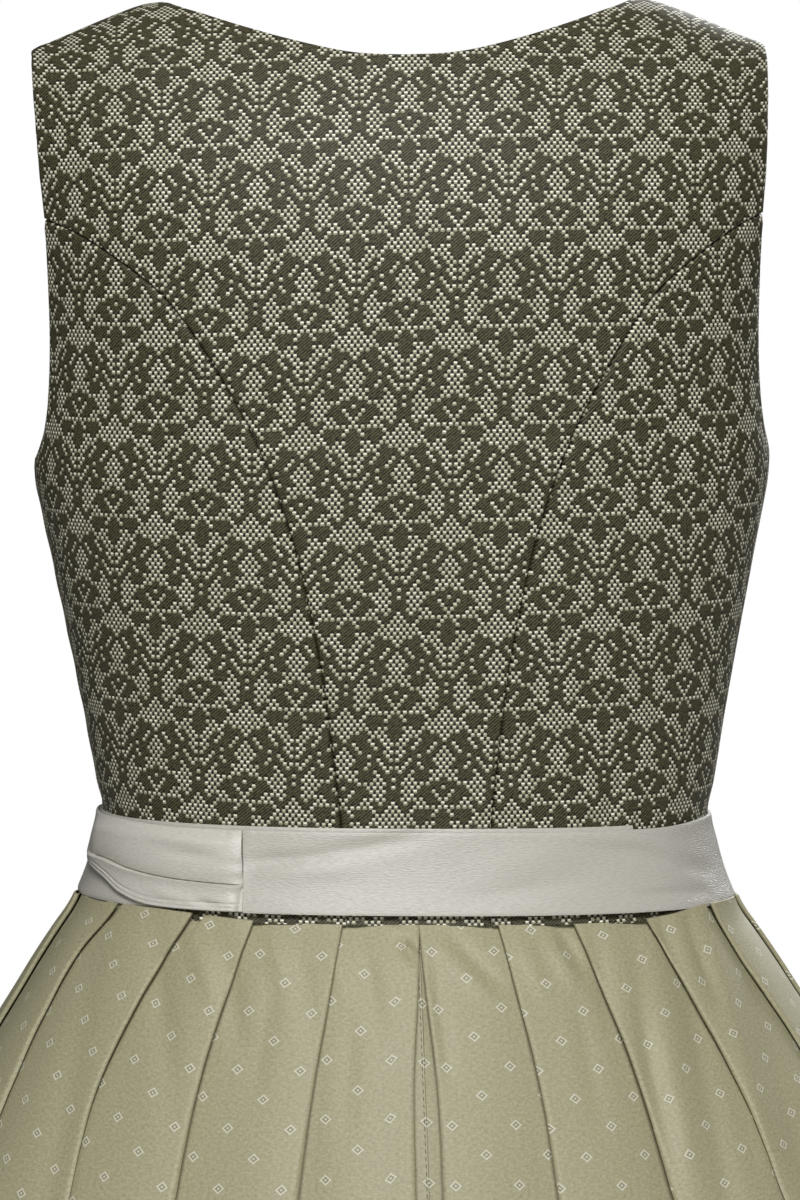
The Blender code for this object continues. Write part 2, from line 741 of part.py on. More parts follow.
def knot():
    """The wrap in the middle of the bow, a rounded block that hugs the waistband."""
    base = 3 * LAID_GAP + SATIN_WALL + RIBBON_WALL
    centre = knot_distance()
    around, across = 14, 6
    outer, inner = [], []
    for i in range(across + 1):
        tall = -1 + 2 * i / across
        row_out, row_in = [], []
        for j in range(around + 1):
            wide = -1 + 2 * j / around
            full = max(1 - abs(wide) ** 3.2, 0) ** 0.5 * max(1 - abs(tall) ** 3.2, 0) ** 0.5
            pinch = 1 - KNOT_PINCH * math.cos(math.pi * tall)
            u = centre + wide * KNOT_WIDTH / 2 * pinch
            height = KNOT_LEVEL + tall * KNOT_HEIGHT / 2
            row_in.append(on_front(height, u, base))
            row_out.append(on_front(height, u, base + 2.0 + (KNOT_THICK - 2.0) * full))
        outer.append(row_out)
        inner.append(row_in)
    shell("bow_knot", outer, inner, "satin")


def bow_loop(name, side):
    """A loop of ribbon: out from the knot and back behind, open above and below."""
    start = KNOT_WIDTH / 2 * (1 + KNOT_PINCH) + SEAM_GAP
    centre = knot_distance()
    outer, inner = [], []
    for i in range(LOOP_ROWS + 1):
        tall = -1 + 2 * i / LOOP_ROWS
        path = []
        for u, out, half, drop in LOOP_PATH:
            height = KNOT_LEVEL - drop + tall * half
            flare = max(BAND_BOTTOM + 2.0 - height, 0.0) * LOOP_FLARE
            path.append(on_front(height, centre + side * (start + u), out + flare))
        walls = thick(path, RIBBON_WALL)
        outer.append(walls[0])
        inner.append(walls[1])
    shell(name, outer, inner, "satin")


def bow_tail(name, side):
    """A tail of ribbon that hangs from the knot over the apron, with a slanting end."""
    centre = knot_distance()
    total = TAIL_SHAPES[-1][0]
    outer, inner = [], []
    for below, half, rise, spread in TAIL_SHAPES:
        share = (below - TAIL_SHAPES[0][0]) / total
        row_out, row_in = [], []
        for j in range(TAIL_COLUMNS + 1):
            across = -1 + 2 * j / TAIL_COLUMNS
            height = BAND_BOTTOM - below - TAIL_SLANT * share * share * side * across
            out = rise + TAIL_FOLD * (0.2 + share) * (1 + math.cos(2 * math.pi * across))
            u = centre + side * spread + across * half
            row_in.append(on_front(height, u, out))
            row_out.append(on_front(height, u, out + SATIN_WALL))
        outer.append(row_out)
        inner.append(row_in)
    shell(name, outer, inner, "satin")


# --- buttons -----------------------------------------------------------------------------------------
def centre_front(height):
    """A point on the meeting edges of the fronts, which run straight between their rows."""
    rows = centre_front_heights()
    i = bisect_right(rows, height) - 1
    low, high = (body(-math.pi / 2, row) for row in rows[i:i + 2])
    return low.lerp(high, (height - rows[i]) / (rows[i + 1] - rows[i]))


def button(name, height):
    """A domed button on the meeting edges of the two fronts, flat on the cloth under it."""
    above, seat, below = (centre_front(height + step * BUTTON_RADIUS) for step in (1, 0, -1))
    up = (above - below).normalized()
    right = Vector((1, 0, 0))
    out = right.cross(up)
    hollow = max(0.0, ((above + below) / 2 - seat).dot(out))
    seat += out * (BUTTON_STAND + hollow)
    points = [seat + out * BUTTON_HEIGHT]
    for radius, rise in BUTTON_PROFILE:
        for j in range(BUTTON_SIDES):
            turn = 2 * math.pi * j / BUTTON_SIDES
            flat = (right * math.cos(turn) + up * math.sin(turn)) * BUTTON_RADIUS * radius
            points.append(seat + flat + out * BUTTON_HEIGHT * rise)
    points.append(seat)
    faces = []
    last = len(points) - 1
    for j in range(BUTTON_SIDES):
        k = (j + 1) % BUTTON_SIDES
        faces.append((0, 1 + j, 1 + k))
        for level in range(len(BUTTON_PROFILE) - 1):
            a = 1 + level * BUTTON_SIDES
            b = a + BUTTON_SIDES
            faces.append((a + j, b + j, b + k, a + k))
        faces.append((last, last - BUTTON_SIDES + k, last - BUTTON_SIDES + j))
    add_object(name, points, faces, "pewter")


def main():
    for old in list(bpy.data.objects):
        bpy.data.objects.remove(old)
    back_centre()
    side_panel("bodice_back_side_{}", BACK_SEAM, BACK_ARMHOLE[: BACK_CORNER + 1], True, 7)
    side_panel("bodice_front_side_{}", FRONT_SEAM, FRONT_ARMHOLE[: FRONT_CORNER + 1], False, 6)
    front_panels()
    skirt()
    apron()
    waistband()
    tie()
    knot()
    for name, side in (("left", 1), ("right", -1)):
        bow_loop("bow_loop_" + name, side)
        bow_tail("bow_tail_" + name, side)
    for i, height in enumerate(BUTTON_HEIGHTS):
        button(f"button_{i + 1}", height)


main()
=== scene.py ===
import math

import bpy
import numpy as np
from mathutils import Matrix, Vector


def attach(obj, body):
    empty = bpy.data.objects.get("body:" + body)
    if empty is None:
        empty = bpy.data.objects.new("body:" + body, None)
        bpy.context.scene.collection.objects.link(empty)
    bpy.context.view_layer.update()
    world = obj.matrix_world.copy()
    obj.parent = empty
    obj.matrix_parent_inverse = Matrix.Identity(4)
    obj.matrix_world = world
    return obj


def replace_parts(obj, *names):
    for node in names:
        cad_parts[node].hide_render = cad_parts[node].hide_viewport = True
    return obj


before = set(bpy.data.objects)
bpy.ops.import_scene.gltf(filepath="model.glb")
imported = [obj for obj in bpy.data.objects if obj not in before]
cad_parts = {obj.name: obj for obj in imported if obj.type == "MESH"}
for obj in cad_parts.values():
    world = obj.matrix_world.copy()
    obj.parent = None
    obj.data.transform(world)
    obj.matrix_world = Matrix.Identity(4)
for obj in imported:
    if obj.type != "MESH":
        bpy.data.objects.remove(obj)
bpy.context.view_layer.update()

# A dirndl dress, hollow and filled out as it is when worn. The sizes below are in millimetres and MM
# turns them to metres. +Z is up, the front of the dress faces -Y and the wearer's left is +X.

MM = 0.001
rng = np.random.default_rng(1889)


# --- size tables ---
def table(names, *rows):
    """A size table: its columns by name, with its rows in the order of the first one."""
    return dict(zip(names.split(), np.array(sorted(rows), float).T))


def read(rows, name, at):
    """A column of a size table at values of its first one, on a cubic through the rows."""
    keys, values = next(iter(rows.values())), rows[name]
    row = np.arange(len(keys))
    before, after = np.maximum(row - 1, 0), np.minimum(row + 1, len(keys) - 1)
    slopes = (values[after] - values[before]) / (keys[after] - keys[before])
    at = np.clip(at, keys[0], keys[-1])
    i = np.clip(np.searchsorted(keys, at, side="right") - 1, 0, len(keys) - 2)
    span = keys[i + 1] - keys[i]
    s = (at - keys[i]) / span
    return (values[i] * (1 + 2 * s) * (1 - s) ** 2 + slopes[i] * span * s * (1 - s) ** 2
            + values[i + 1] * s * s * (3 - 2 * s) + slopes[i + 1] * span * s * s * (s - 1))


def columns(rows, at):
    """All the columns of a size table but its first, at values of that one."""
    return [read(rows, name, at) for name in list(rows)[1:]]


WAIST_SEAM = -396.0  # height of the seam between bodice and skirt
SEAM_GAP = 0.3  # between pieces that are sewn edge to edge
# Half the neck's width, where the shoulder seam starts, its fall, and how softly the fall begins.
SHOULDER_NECK, SHOULDER_SLOPE, SHOULDER_ROUND = 106.0, 0.43, 8.0
COLLAR_SLOPE = 0.20  # rise of the unseen ridge over the open neck
SHOULDER_DEPTH = 8.0  # how far behind the side seams the shoulder seams lie
# How much the waist rides up for each millimetre to the wearer's left, round which height and how far.
WAIST_TILT, TILT_CENTRE, TILT_SPREAD = 0.020, -385.0, 110.0
ROLL_HEIGHT, ROLL_LENGTH = -120.0, 170.0  # above this the body rolls over to the shoulder seams
BACK_POWER, FRONT_POWER = 2.4, 2.2  # how square the body is, where 2 is an ellipse
BUST_RISE, BUST_SIDE, BUST_HEIGHT, BUST_WIDTH, BUST_SPREAD = 17.0, 85.0, -238.0, 47.0, 50.0
ANGLE_STEP, HEIGHT_STEP = 0.004, 0.5  # to the points on both sides that give a direction
THREAD_STEPS = 33
CREASE_FADE, CREASE_ENDS = 24, 0.12  # creases fade round the sides, and towards their own ends

# The body's half width and its depths behind and in front, at height coordinates.
SECTIONS = table(
    "height half_width back front",
    (60, 172, 84, 70), (0, 172, 90, 76), (-60, 169, 98, 84), (-92, 165.5, 101, 88),
    (-120, 161.8, 103, 93), (-160, 159.4, 104, 104), (-185, 160.4, 103, 113), (-198, 161.6, 103, 117),
    (-210, 161, 102, 120), (-222, 158.8, 101, 121.5), (-235, 156.1, 100, 122), (-261, 151, 98, 118),
    (-288, 145.8, 95, 111), (-314, 141, 92, 104), (-341, 136.4, 90, 99), (-355.5, 133.4, 89.5, 98),
    (-367.5, 135.8, 91, 100.5), (-380, 139.2, 94, 104), (-391.6, 143.8, 98.5, 108.5),
    (-396, 146.2, 101, 111), (-407, 155.4, 110, 119), (-420, 164.2, 118.5, 126.5),
    (-434, 172.6, 127, 134), (-456, 186, 139, 146), (-476, 198, 151, 158), (-526, 226, 177, 184),
    (-606, 268, 216, 223), (-706, 311, 258, 264), (-826, 347, 296, 301), (-946, 370, 322, 326),
    (-1046, 384, 338, 341))

# Seams and cut edges of the bodice, as half widths at real heights.
BACK_SEAM = table(
    "z x", (-396, 30.5), (-350, 32.7), (-320, 36), (-295, 39.2), (-270, 43.4), (-238, 50.4),
    (-218, 56.4), (-200, 63), (-182, 71), (-160, 83.2), (-140, 96), (-124, 109.5), (-109, 129),
    (-100, 143), (-94, 156.2))
BACK_ARMHOLE = table(
    "z x", (-198, 161.6), (-192, 159.3), (-185, 157.2), (-171, 155.3), (-145, 154.4), (-116, 155.1),
    (-94, 156.2), (-75, 158.2), (-50, 160), (-32, 161.2), (-20.5, 161.4))
BACK_NECK = table(
    "x z", (0, -25.4), (15, -24.9), (27, -23.6), (38, -21.2), (51, -17.6), (62, -14.2), (74, -10.2),
    (86, -5.8), (96.5, -2), (106, 0))
FRONT_SEAM = table(
    "z x", (-396, 58), (-352, 58), (-300, 66), (-262, 79), (-240, 87), (-210, 99), (-180, 112),
    (-150, 126), (-125, 138))
FRONT_ARMHOLE = table(
    "z x", (-198, 161.6), (-192, 158.4), (-185, 155), (-171, 150), (-150, 143.5), (-125, 138),
    (-100, 136.5), (-72, 140), (-45, 150), (-20.5, 161.6))
# The scooped front neckline, by its distance along the edge from the centre front.
FRONT_NECK = table(
    "along x z", (0, 0, -185), (18, 18, -184.5), (38, 38, -182), (59, 58, -175), (83, 76, -160),
    (107, 86, -138), (141, 91.5, -105), (181, 97, -65), (218, 102, -28), (246, 106, 0))
BACK_CORNER, FRONT_CORNER, NECK_TURN = -94.0, -125.0, 107.0


# --- the body form, which every piece lies on ---
def power(value, exponent):
    return np.copysign(np.abs(value) ** exponent, value)


def smoothstep(value):
    value = np.clip(value, 0, 1)
    return value * value * (3 - 2 * value)


def bump_at(distance, place, width):
    return np.exp(-(((distance - place) / width) ** 2))


def ridge(x):
    """Height of the shoulder line at a distance from the middle."""
    beyond = np.abs(x) - SHOULDER_NECK
    fall = SHOULDER_ROUND - np.hypot(np.maximum(beyond, 0), SHOULDER_ROUND)
    return np.where(beyond < 0, -beyond * COLLAR_SLOPE, fall * SHOULDER_SLOPE)


def body(angle, height):
    """Points on the outside of the dress, at angles from the wearer's left and height coordinates."""
    angle, height = np.broadcast_arrays(np.asarray(angle, float), np.asarray(height, float))
    back = np.sin(angle) >= 0
    bend = np.where(back, 2 / BACK_POWER, 2 / FRONT_POWER)
    x = read(SECTIONS, "half_width", height) * power(np.cos(angle), bend)
    depth = np.where(back, read(SECTIONS, "back", height), read(SECTIONS, "front", height))
    bust = (BUST_RISE * bump_at(np.abs(x), BUST_SIDE, BUST_WIDTH)
            * bump_at(height, BUST_HEIGHT, BUST_SPREAD))
    y = depth * power(np.sin(angle), bend) - np.where(back, 0, bust * np.abs(np.sin(angle)))
    turn = np.maximum(height - ROLL_HEIGHT, 0) / ROLL_LENGTH * math.pi / 2
    rolled = ROLL_HEIGHT + (ridge(x) - ROLL_HEIGHT) * np.sin(turn)
    return np.stack([x, SHOULDER_DEPTH + (y - SHOULDER_DEPTH) * np.cos(turn),
                     np.where(height > ROLL_HEIGHT, rolled, height)], -1)


def unit(vectors):
    return vectors / np.maximum(np.linalg.norm(vectors, axis=-1, keepdims=True), 1e-9)


def outward(angle, height):
    """The way out of the cloth: level up to the roll over the shoulders, then square to it."""
    across = body(angle + ANGLE_STEP, height) - body(angle - ANGLE_STEP, height)
    up = body(angle, height + HEIGHT_STEP) - body(angle, height - HEIGHT_STEP)
    level = np.stack([across[..., 1], -across[..., 0], 0 * across[..., 0]], -1)
    return unit(np.where((height > ROLL_HEIGHT)[..., None], np.cross(across, up), level))


def coordinate(x, z):
    """The height coordinate of a point at a real height."""
    share = np.clip((z - ROLL_HEIGHT) / (ridge(x) - ROLL_HEIGHT), -1, 1)
    return np.where(z <= ROLL_HEIGHT, z, ROLL_HEIGHT + ROLL_LENGTH * np.arcsin(share) / (math.pi / 2))


def angle_at(x, height, back):
    """The angle on the back or the front half whose point lies at x."""
    share = np.minimum(np.abs(x) / read(SECTIONS, "half_width", height), 1)
    angle = np.arccos(share ** ((BACK_POWER if back else FRONT_POWER) / 2))
    angle = angle if back else -angle
    return np.where(x >= 0, angle, math.pi - angle)


def by_height(edge):
    """A cut edge's half widths by height coordinate instead of real height."""
    height = coordinate(edge["x"], edge["z"])
    return table("height x", *zip(height, edge["x"]))


def settled(points):
    """The waist rides up a little on the wearer's left, as the dress hangs."""
    near = bump_at(points[..., 2], TILT_CENTRE, TILT_SPREAD)
    return points + np.stack([0 * near, 0 * near, WAIST_TILT * points[..., 0] * near], -1)


def length_of(points):
    """Lengths of lines of points, whose points run along the last but one axis."""
    return np.linalg.norm(np.diff(points, axis=-2), axis=-1).sum(-1)


def threads(angle, height, middle):
    """Where each point lies in the flat cloth: round from a middle line, and up from the waist seam."""
    t = np.linspace(0, 1, THREAD_STEPS)
    turn = middle + (angle[..., None] - middle) * t
    climb = WAIST_SEAM + (height[..., None] - WAIST_SEAM) * t
    u = length_of(body(turn, height[..., None])) * np.sign(middle - angle)
    return np.stack([u, length_of(body(angle[..., None], climb))], -1)


def turned(uv, about, degrees, shift=(0, 0)):
    """Cloth laid with its threads turned about a point and moved."""
    c, s = math.cos(math.radians(degrees)), math.sin(math.radians(degrees))
    u, v = uv[..., 0] - about[0], uv[..., 1] - about[1]
    return np.stack([about[0] + u * c - v * s + shift[0], about[1] + u * s + v * c + shift[1]], -1)


def creased(points, back, creases):
    """How far soft creases move points out: troughs and ridges along lines, seen from one side."""
    out = np.zeros(points.shape[:-1])
    facing = smoothstep(0.5 + (points[..., 1] if back else -points[..., 1]) / CREASE_FADE)
    for x, z, to_x, to_z, width, rise in creases:
        way = np.array([to_x - x, to_z - z])
        here = np.stack([points[..., 0] - x, points[..., 2] - z], -1)
        share = np.clip(here @ way / (way @ way), 0, 1)
        away = np.linalg.norm(here - share[..., None] * way, axis=-1)
        share = CREASE_ENDS + (1 - 2 * CREASE_ENDS) * share
        out += rise * bump_at(away, 0, width) * np.sin(math.pi * share)
    return out * facing


# --- meshes ---
def wall(name, outer, inner, uv, finish, uv_end=None, sharp=50):
    """A closed wall of cloth between two grids of points. Its UVs are places in the cloth, in metres.

    uv_end holds the places that a point has for the faces before it, where they differ.
    """
    up, across = outer.shape[:2]
    points = settled(np.concatenate([outer.reshape(-1, 3), inner.reshape(-1, 3)])) * MM
    index = np.arange(up * across).reshape(up, across)
    end = uv if uv_end is None else uv_end

    def around(a, b):
        corners = a[:-1, :-1], b[:-1, 1:], b[1:, 1:], a[1:, :-1]
        return np.stack(corners, 2).reshape(-1, 4, *a.shape[2:])

    quads, quad_uv = around(index, index), around(uv, end)
    rim = np.concatenate([index[:-1, 0], index[-1, :-1], index[:0:-1, -1], index[0, :0:-1]])
    after, under = np.roll(rim, -1), up * across
    flat = uv.reshape(-1, 2)
    faces = np.concatenate([quads, quads[:, ::-1] + under,
                            np.stack([rim, after, after + under, rim + under], -1)])
    places = np.concatenate([quad_uv, quad_uv[:, ::-1],
                             np.stack([flat[rim], flat[after], flat[after], flat[rim]], 1)])
    a, b, c, d = (points[faces[:, k]] for k in range(4))
    if (a * np.cross(b, c)).sum() + (a * np.cross(c, d)).sum() < 0:
        faces, places = faces[:, ::-1], places[:, ::-1]
    mesh = bpy.data.meshes.new(name)
    mesh.from_pydata(points.tolist(), [], faces.tolist())
    mesh.uv_layers.new(name="threads").data.foreach_set("uv", (places * MM).ravel())
    return finished(name, mesh, finish, sharp)


def placed(name, data):
    """A new object in the scene, of a mesh, a light or a camera."""
    made = bpy.data.objects.new(name, data)
    bpy.context.scene.collection.objects.link(made)
    return made


def finished(name, mesh, finish, sharp=50):
    """An object of a mesh, smooth but for its sharp edges, that rides with the dress."""
    mesh.materials.append(MATERIALS[finish])
    mesh.shade_smooth()
    mesh.set_sharp_from_angle(angle=math.radians(sharp))
    piece = placed(name, mesh)
    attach(piece, "root")
    return piece


def cut_area(uv):
    """The area of the flat cloth, from the places of its points, in square metres."""
    across, other = uv[1:, 1:] - uv[:-1, :-1], uv[1:, :-1] - uv[:-1, 1:]
    return float(np.abs(across[..., 0] * other[..., 1] - across[..., 1] * other[..., 0]).sum() / 2) * MM * MM


def cloth(name, node, outer, inner, uv, finish, cut=None):
    """A piece of cloth in place of a solid. cut holds its places before it was laid askew, if it was."""
    piece = wall(name, outer, inner, uv, finish)
    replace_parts(piece, node)
    uv = uv if cut is None else cut
    area = cut_area(uv)


def spread(start, end, step, fine=(0.7, 1.6, 3.0), ends=(True, True)):
    """Places from start to end about a step apart, with a few close together at the ends."""
    count = max(int(round(abs(end - start) / step)), 1)
    places = [*np.linspace(start, end, count + 1)]
    way = 1 if end > start else -1
    places += [start + way * f for f in fine if ends[0]] + [end - way * f for f in fine if ends[1]]
    return np.array(sorted(set(places), reverse=way < 0))


# --- bodice ---
BODICE_WALL = 2.0  # jacquard with its interlining
BODICE_GRID = 3.2
EDGE_STEPS = (0.5, 1.1, 1.9, 3.0)  # extra rows and columns at these distances from a panel's edges
EVEN_FROM, NARROW_ROW = 4.5, 14.0  # the even columns start here, and closer in rows narrower than this
SEAM_DITCH, DITCH_WIDTH = 1.3, 0.45
SEAM_OPEN, SEAM_LEFT = 0.15, 0.02  # how far back the edges stand at a seam, and what is left inside it
SEAM_SHARE_LOW = 0.1  # what is left of the ditch at the waist
SEAM_PUCKER, PUCKER_LENGTH, PUCKER_DRIFT = 0.22, 2.1, 9.0
SEAM_SWELL, SEAM_SWELL_AT, SEAM_SWELL_WIDTH, SEAM_SWELL_LENGTH = 0.25, 4.2, 2.4, 3.7
EDGE_ROLL, ROLL_WIDTH = 0.7, 0.6
TURNING_SWELL, TURNING_AT, TURNING_WIDTH = 0.18, 5.5, 1.2  # where a turned edge ends inside
DITCH_BEHIND = 0.4  # how much of the ditch shows on the inside
TUCK_FROM, TUCK_OVER, TUCK_DEPTH, TUCK_HEIGHT = 100.0, 16.0, 6.0, 2.4
GRAIN_TILT = 1.9  # degrees that the woven stripe of flowers leans on the back
GRAIN_SKEW = 0.05  # how much its wefts are pulled askew there
FLOWER_HEIGHT, FLOWER_SIDE = -221.1, 5.9  # where one of them lies, beside the middle of the back

# Soft creases of the back: from and to, as x and z, then width and rise.
BACK_CREASES = (
    (-88, -338, -84, -352, 3.0, -1.3), (-94, -336, -91, -354, 3.4, 1.2), (-78, -322, -92, -350, 7.0, -0.8),
    (-60, -330, -20, -352, 9.0, 0.7), (60, -318, 88, -350, 9.0, 0.8), (-120, -170, -96, -215, 12.0, -0.8),
    (120, -168, 98, -214, 12.0, -0.9), (-30, -20, -52, -70, 12.0, 0.7), (34, -20, 50, -75, 12.0, 0.6),
    (0, -240, 6, -330, 16.0, -0.6),
)
FRONT_CREASES = (
    (52, -300, 20, -345, 9.0, 0.7), (-54, -296, -22, -346, 9.0, 0.7), (100, -196, 128, -178, 9.0, -0.8),
    (-100, -196, -128, -178, 9.0, -0.8), (22, -210, 60, -232, 8.0, 0.6), (-20, -212, -62, -236, 8.0, 0.6),
)


def along(edge, share):
    """Points at shares of a cut edge's length, as x and height coordinate."""
    x, height = edge["x"], coordinate(edge["x"], edge["z"])
    length = np.concatenate([[0], np.cumsum(np.hypot(np.diff(x), np.diff(height)))])
    curve = table("length x height", *zip(length, x, height))
    return columns(curve, share * length[-1])


def part_of(edge, low=None, high=None):
    """The rows of a cut edge between two real heights, or between two lengths along it."""
    keys = next(iter(edge.values()))
    low, high = keys[0] if low is None else low, keys[-1] if high is None else high
    keep = (keys >= low) & (keys <= high)
    return {name: column[keep] for name, column in edge.items()}


def seam_shows(height):
    """Seams lie flat and closed where they run into the waist, and show more and more above it."""
    return smoothstep((height - WAIST_SEAM - 7) / 12)


def resampled(angle, height, step):
    """Rows of a panel with even columns about a step apart, and close ones along both edges."""
    length = np.linalg.norm(np.diff(body(angle, height), axis=1), axis=-1)
    length = np.concatenate([0 * length[:, :1], np.cumsum(length, axis=1)], 1)
    count = int(round(length[:, -1].max() / step))
    rows = []
    for i, total in enumerate(length[:, -1]):
        ends = min(1.0, total / NARROW_ROW)
        stand = SEAM_GAP / 2 + SEAM_OPEN * seam_shows(height[i].mean())
        start, end = stand, total - stand
        near = np.array((0, *EDGE_STEPS)) * ends
        inside = EVEN_FROM * ends
        even = np.linspace(start + inside, end - inside, count)
        at = np.concatenate([start + near, even, end - near[::-1]])
        rows.append((np.interp(at, length[i], angle[i]), np.interp(at, length[i], height[i]), at - start,
                     end - at))
    return [np.array(grid) for grid in zip(*rows)]


def tucked(points):
    """How far the lower edge of the bodice's sides goes in behind the skirt that stands up over it."""
    side = smoothstep((np.abs(points[..., 0]) - TUCK_FROM) / TUCK_OVER)
    return TUCK_DEPTH * side * np.exp(-(points[..., 2] - WAIST_SEAM) / TUCK_HEIGHT)


def panel(name, node, angle, height, middle, about, tilt, shift, sewn, skew=0):
    """One panel of the bodice, from its rows of angles and height coordinates.

    Its threads are turned about a point by tilt degrees, moved by shift and pulled askew. sewn says
    whether its first and last columns and its top row are seams. The others are turned edges.
    """
    angle, height, from_first, from_last = resampled(angle, height, BODICE_GRID)
    points, out = body(angle, height), outward(angle, height)
    level = np.cumsum(np.linalg.norm(np.diff(points, axis=0), axis=-1), axis=0)
    level = np.concatenate([0 * level[:1], level])
    rise = creased(points, True, BACK_CREASES) + creased(points, False, FRONT_CREASES)
    for seam, away in zip(sewn, (from_first, from_last, level[-1] - level)):
        if seam:
            pucker = 1 + SEAM_PUCKER * np.sin(level / PUCKER_LENGTH + 2 * np.sin(level / PUCKER_DRIFT))
            shown = SEAM_SHARE_LOW + (1 - SEAM_SHARE_LOW) * seam_shows(height)
            rise -= SEAM_DITCH * np.exp(-away / DITCH_WIDTH) * pucker * shown
            swell = 1 + 0.6 * np.sin(level / SEAM_SWELL_LENGTH)
            rise += SEAM_SWELL * bump_at(away, SEAM_SWELL_AT, SEAM_SWELL_WIDTH) * swell
        else:
            rise -= EDGE_ROLL * np.exp(-away / ROLL_WIDTH)
            rise += TURNING_SWELL * bump_at(away, TURNING_AT, TURNING_WIDTH)
    rise -= tucked(points)
    places = threads(angle, height, middle)
    uv = turned(places, about, tilt, shift)
    uv[..., 1] += skew * uv[..., 0]
    outer = points + out * rise[..., None]
    inner = points - out * (BODICE_WALL - DITCH_BEHIND * np.minimum(rise, 0))[..., None]
    shut = (SEAM_GAP / 2 - SEAM_LEFT + SEAM_OPEN * seam_shows(height.mean(axis=1)))[:, None]
    for seam, column, beside in zip(sewn, (0, -1), (1, -2)):
        if seam:
            inner[:, column] += unit(points[:, column] - points[:, beside]) * shut
    cloth(name, node, outer, inner, uv, "jacquard", cut=places)


def rows_up(length, ends=(False, True), edge_length=None):
    """Shares of a stretch about so long, for rows up a panel.

    edge_length is the length that the close rows at its ends are spaced for, where it differs.
    """
    steps = tuple(step / (edge_length or length) for step in EDGE_STEPS)
    return spread(0, 1, BODICE_GRID / length, steps, ends)


ACROSS = np.linspace(0, 1, 241)  # points along each row before its columns are spaced
YOKE_LENGTH, SIDE_LENGTH, UNDERARM_LENGTH, STRAP_LENGTH = 90, 270, 200, 130
FRONT_SPLIT = -204.0  # the row from the corner of the neckline meets the front seam here
FRONT_SHIFT = 14  # of the flowers on each front, from its edge
ON_SIDE = 0.0001  # the side seam's angle, just on the panel's own half
CENTRE_BACK, CENTRE_FRONT = math.pi / 2, -math.pi / 2
FLOWER = threads(np.array([CENTRE_BACK]), np.array([FLOWER_HEIGHT]), CENTRE_BACK)[0] + [FLOWER_SIDE, 0]


def back_centre():
    """The middle back, cut in one piece from waist to shoulders between the two curved seams."""
    side = by_height(BACK_SEAM)
    armhole = by_height(part_of(BACK_ARMHOLE, low=BACK_CORNER))
    neck = table("x height", *zip(BACK_NECK["x"], coordinate(BACK_NECK["x"], BACK_NECK["z"])))
    corner, shoulder = side["height"][-1], armhole["height"][-1]

    def half_width(height):
        return np.where(height <= corner, read(side, "x", height), read(armhole, "x", height))

    share = 2 * ACROSS - 1
    x = np.abs(share) * half_width(shoulder)
    top = np.where(x < neck["x"][-1], read(neck, "height", x), shoulder)
    low = spread(WAIST_SEAM + SEAM_GAP / 2, corner, BODICE_GRID, EDGE_STEPS)
    rise = rows_up(YOKE_LENGTH)[1:]
    height = np.concatenate([np.repeat(low[:, None], len(share), 1),
                             corner + (top - SEAM_GAP / 2 - corner) * rise[:, None]])
    angle = angle_at(share * half_width(height), height, True)
    panel("back_centre_cloth", "bodice_back_centre", angle, height, CENTRE_BACK, FLOWER, -GRAIN_TILT,
          (-FLOWER[0], -FLOWER[1]), (True, True, False), skew=GRAIN_SKEW)


def side_panels(name, node, seam, armhole, back, tilt, shift):
    """The left and right panels between a curved seam and the side seam."""
    seam, armhole = by_height(seam), by_height(armhole)
    underarm, corner = armhole["height"][0], seam["height"][-1]
    edge = ON_SIDE if back else -ON_SIDE

    def seam_angle(height):
        return angle_at(read(seam, "x", height), height, back)

    rim = np.linspace(underarm, corner, 120)
    start = seam_angle(rim)
    rim_share = (start - angle_at(read(armhole, "x", rim), rim, back)) / (start - edge)
    ends = np.interp(ACROSS, rim_share[::-1], rim[::-1])
    ends[0], ends[-1] = corner, underarm
    rise = rows_up(SIDE_LENGTH, (True, True), UNDERARM_LENGTH)
    height = WAIST_SEAM + SEAM_GAP / 2 + (ends - WAIST_SEAM - SEAM_GAP) * rise[:, None]
    angle = seam_angle(height) + (edge - seam_angle(height)) * ACROSS
    middle = CENTRE_BACK if back else CENTRE_FRONT
    about = FLOWER if back else np.array([0.0, FLOWER[1]])
    for side, word, turn in ((1, "left", angle), (-1, "right", 2 * middle - angle)):
        panel(name.format(word), node.format(word), turn, height, middle, about, side * tilt,
              (side * shift[0] - about[0], shift[1] - about[1]), (True, True, False))


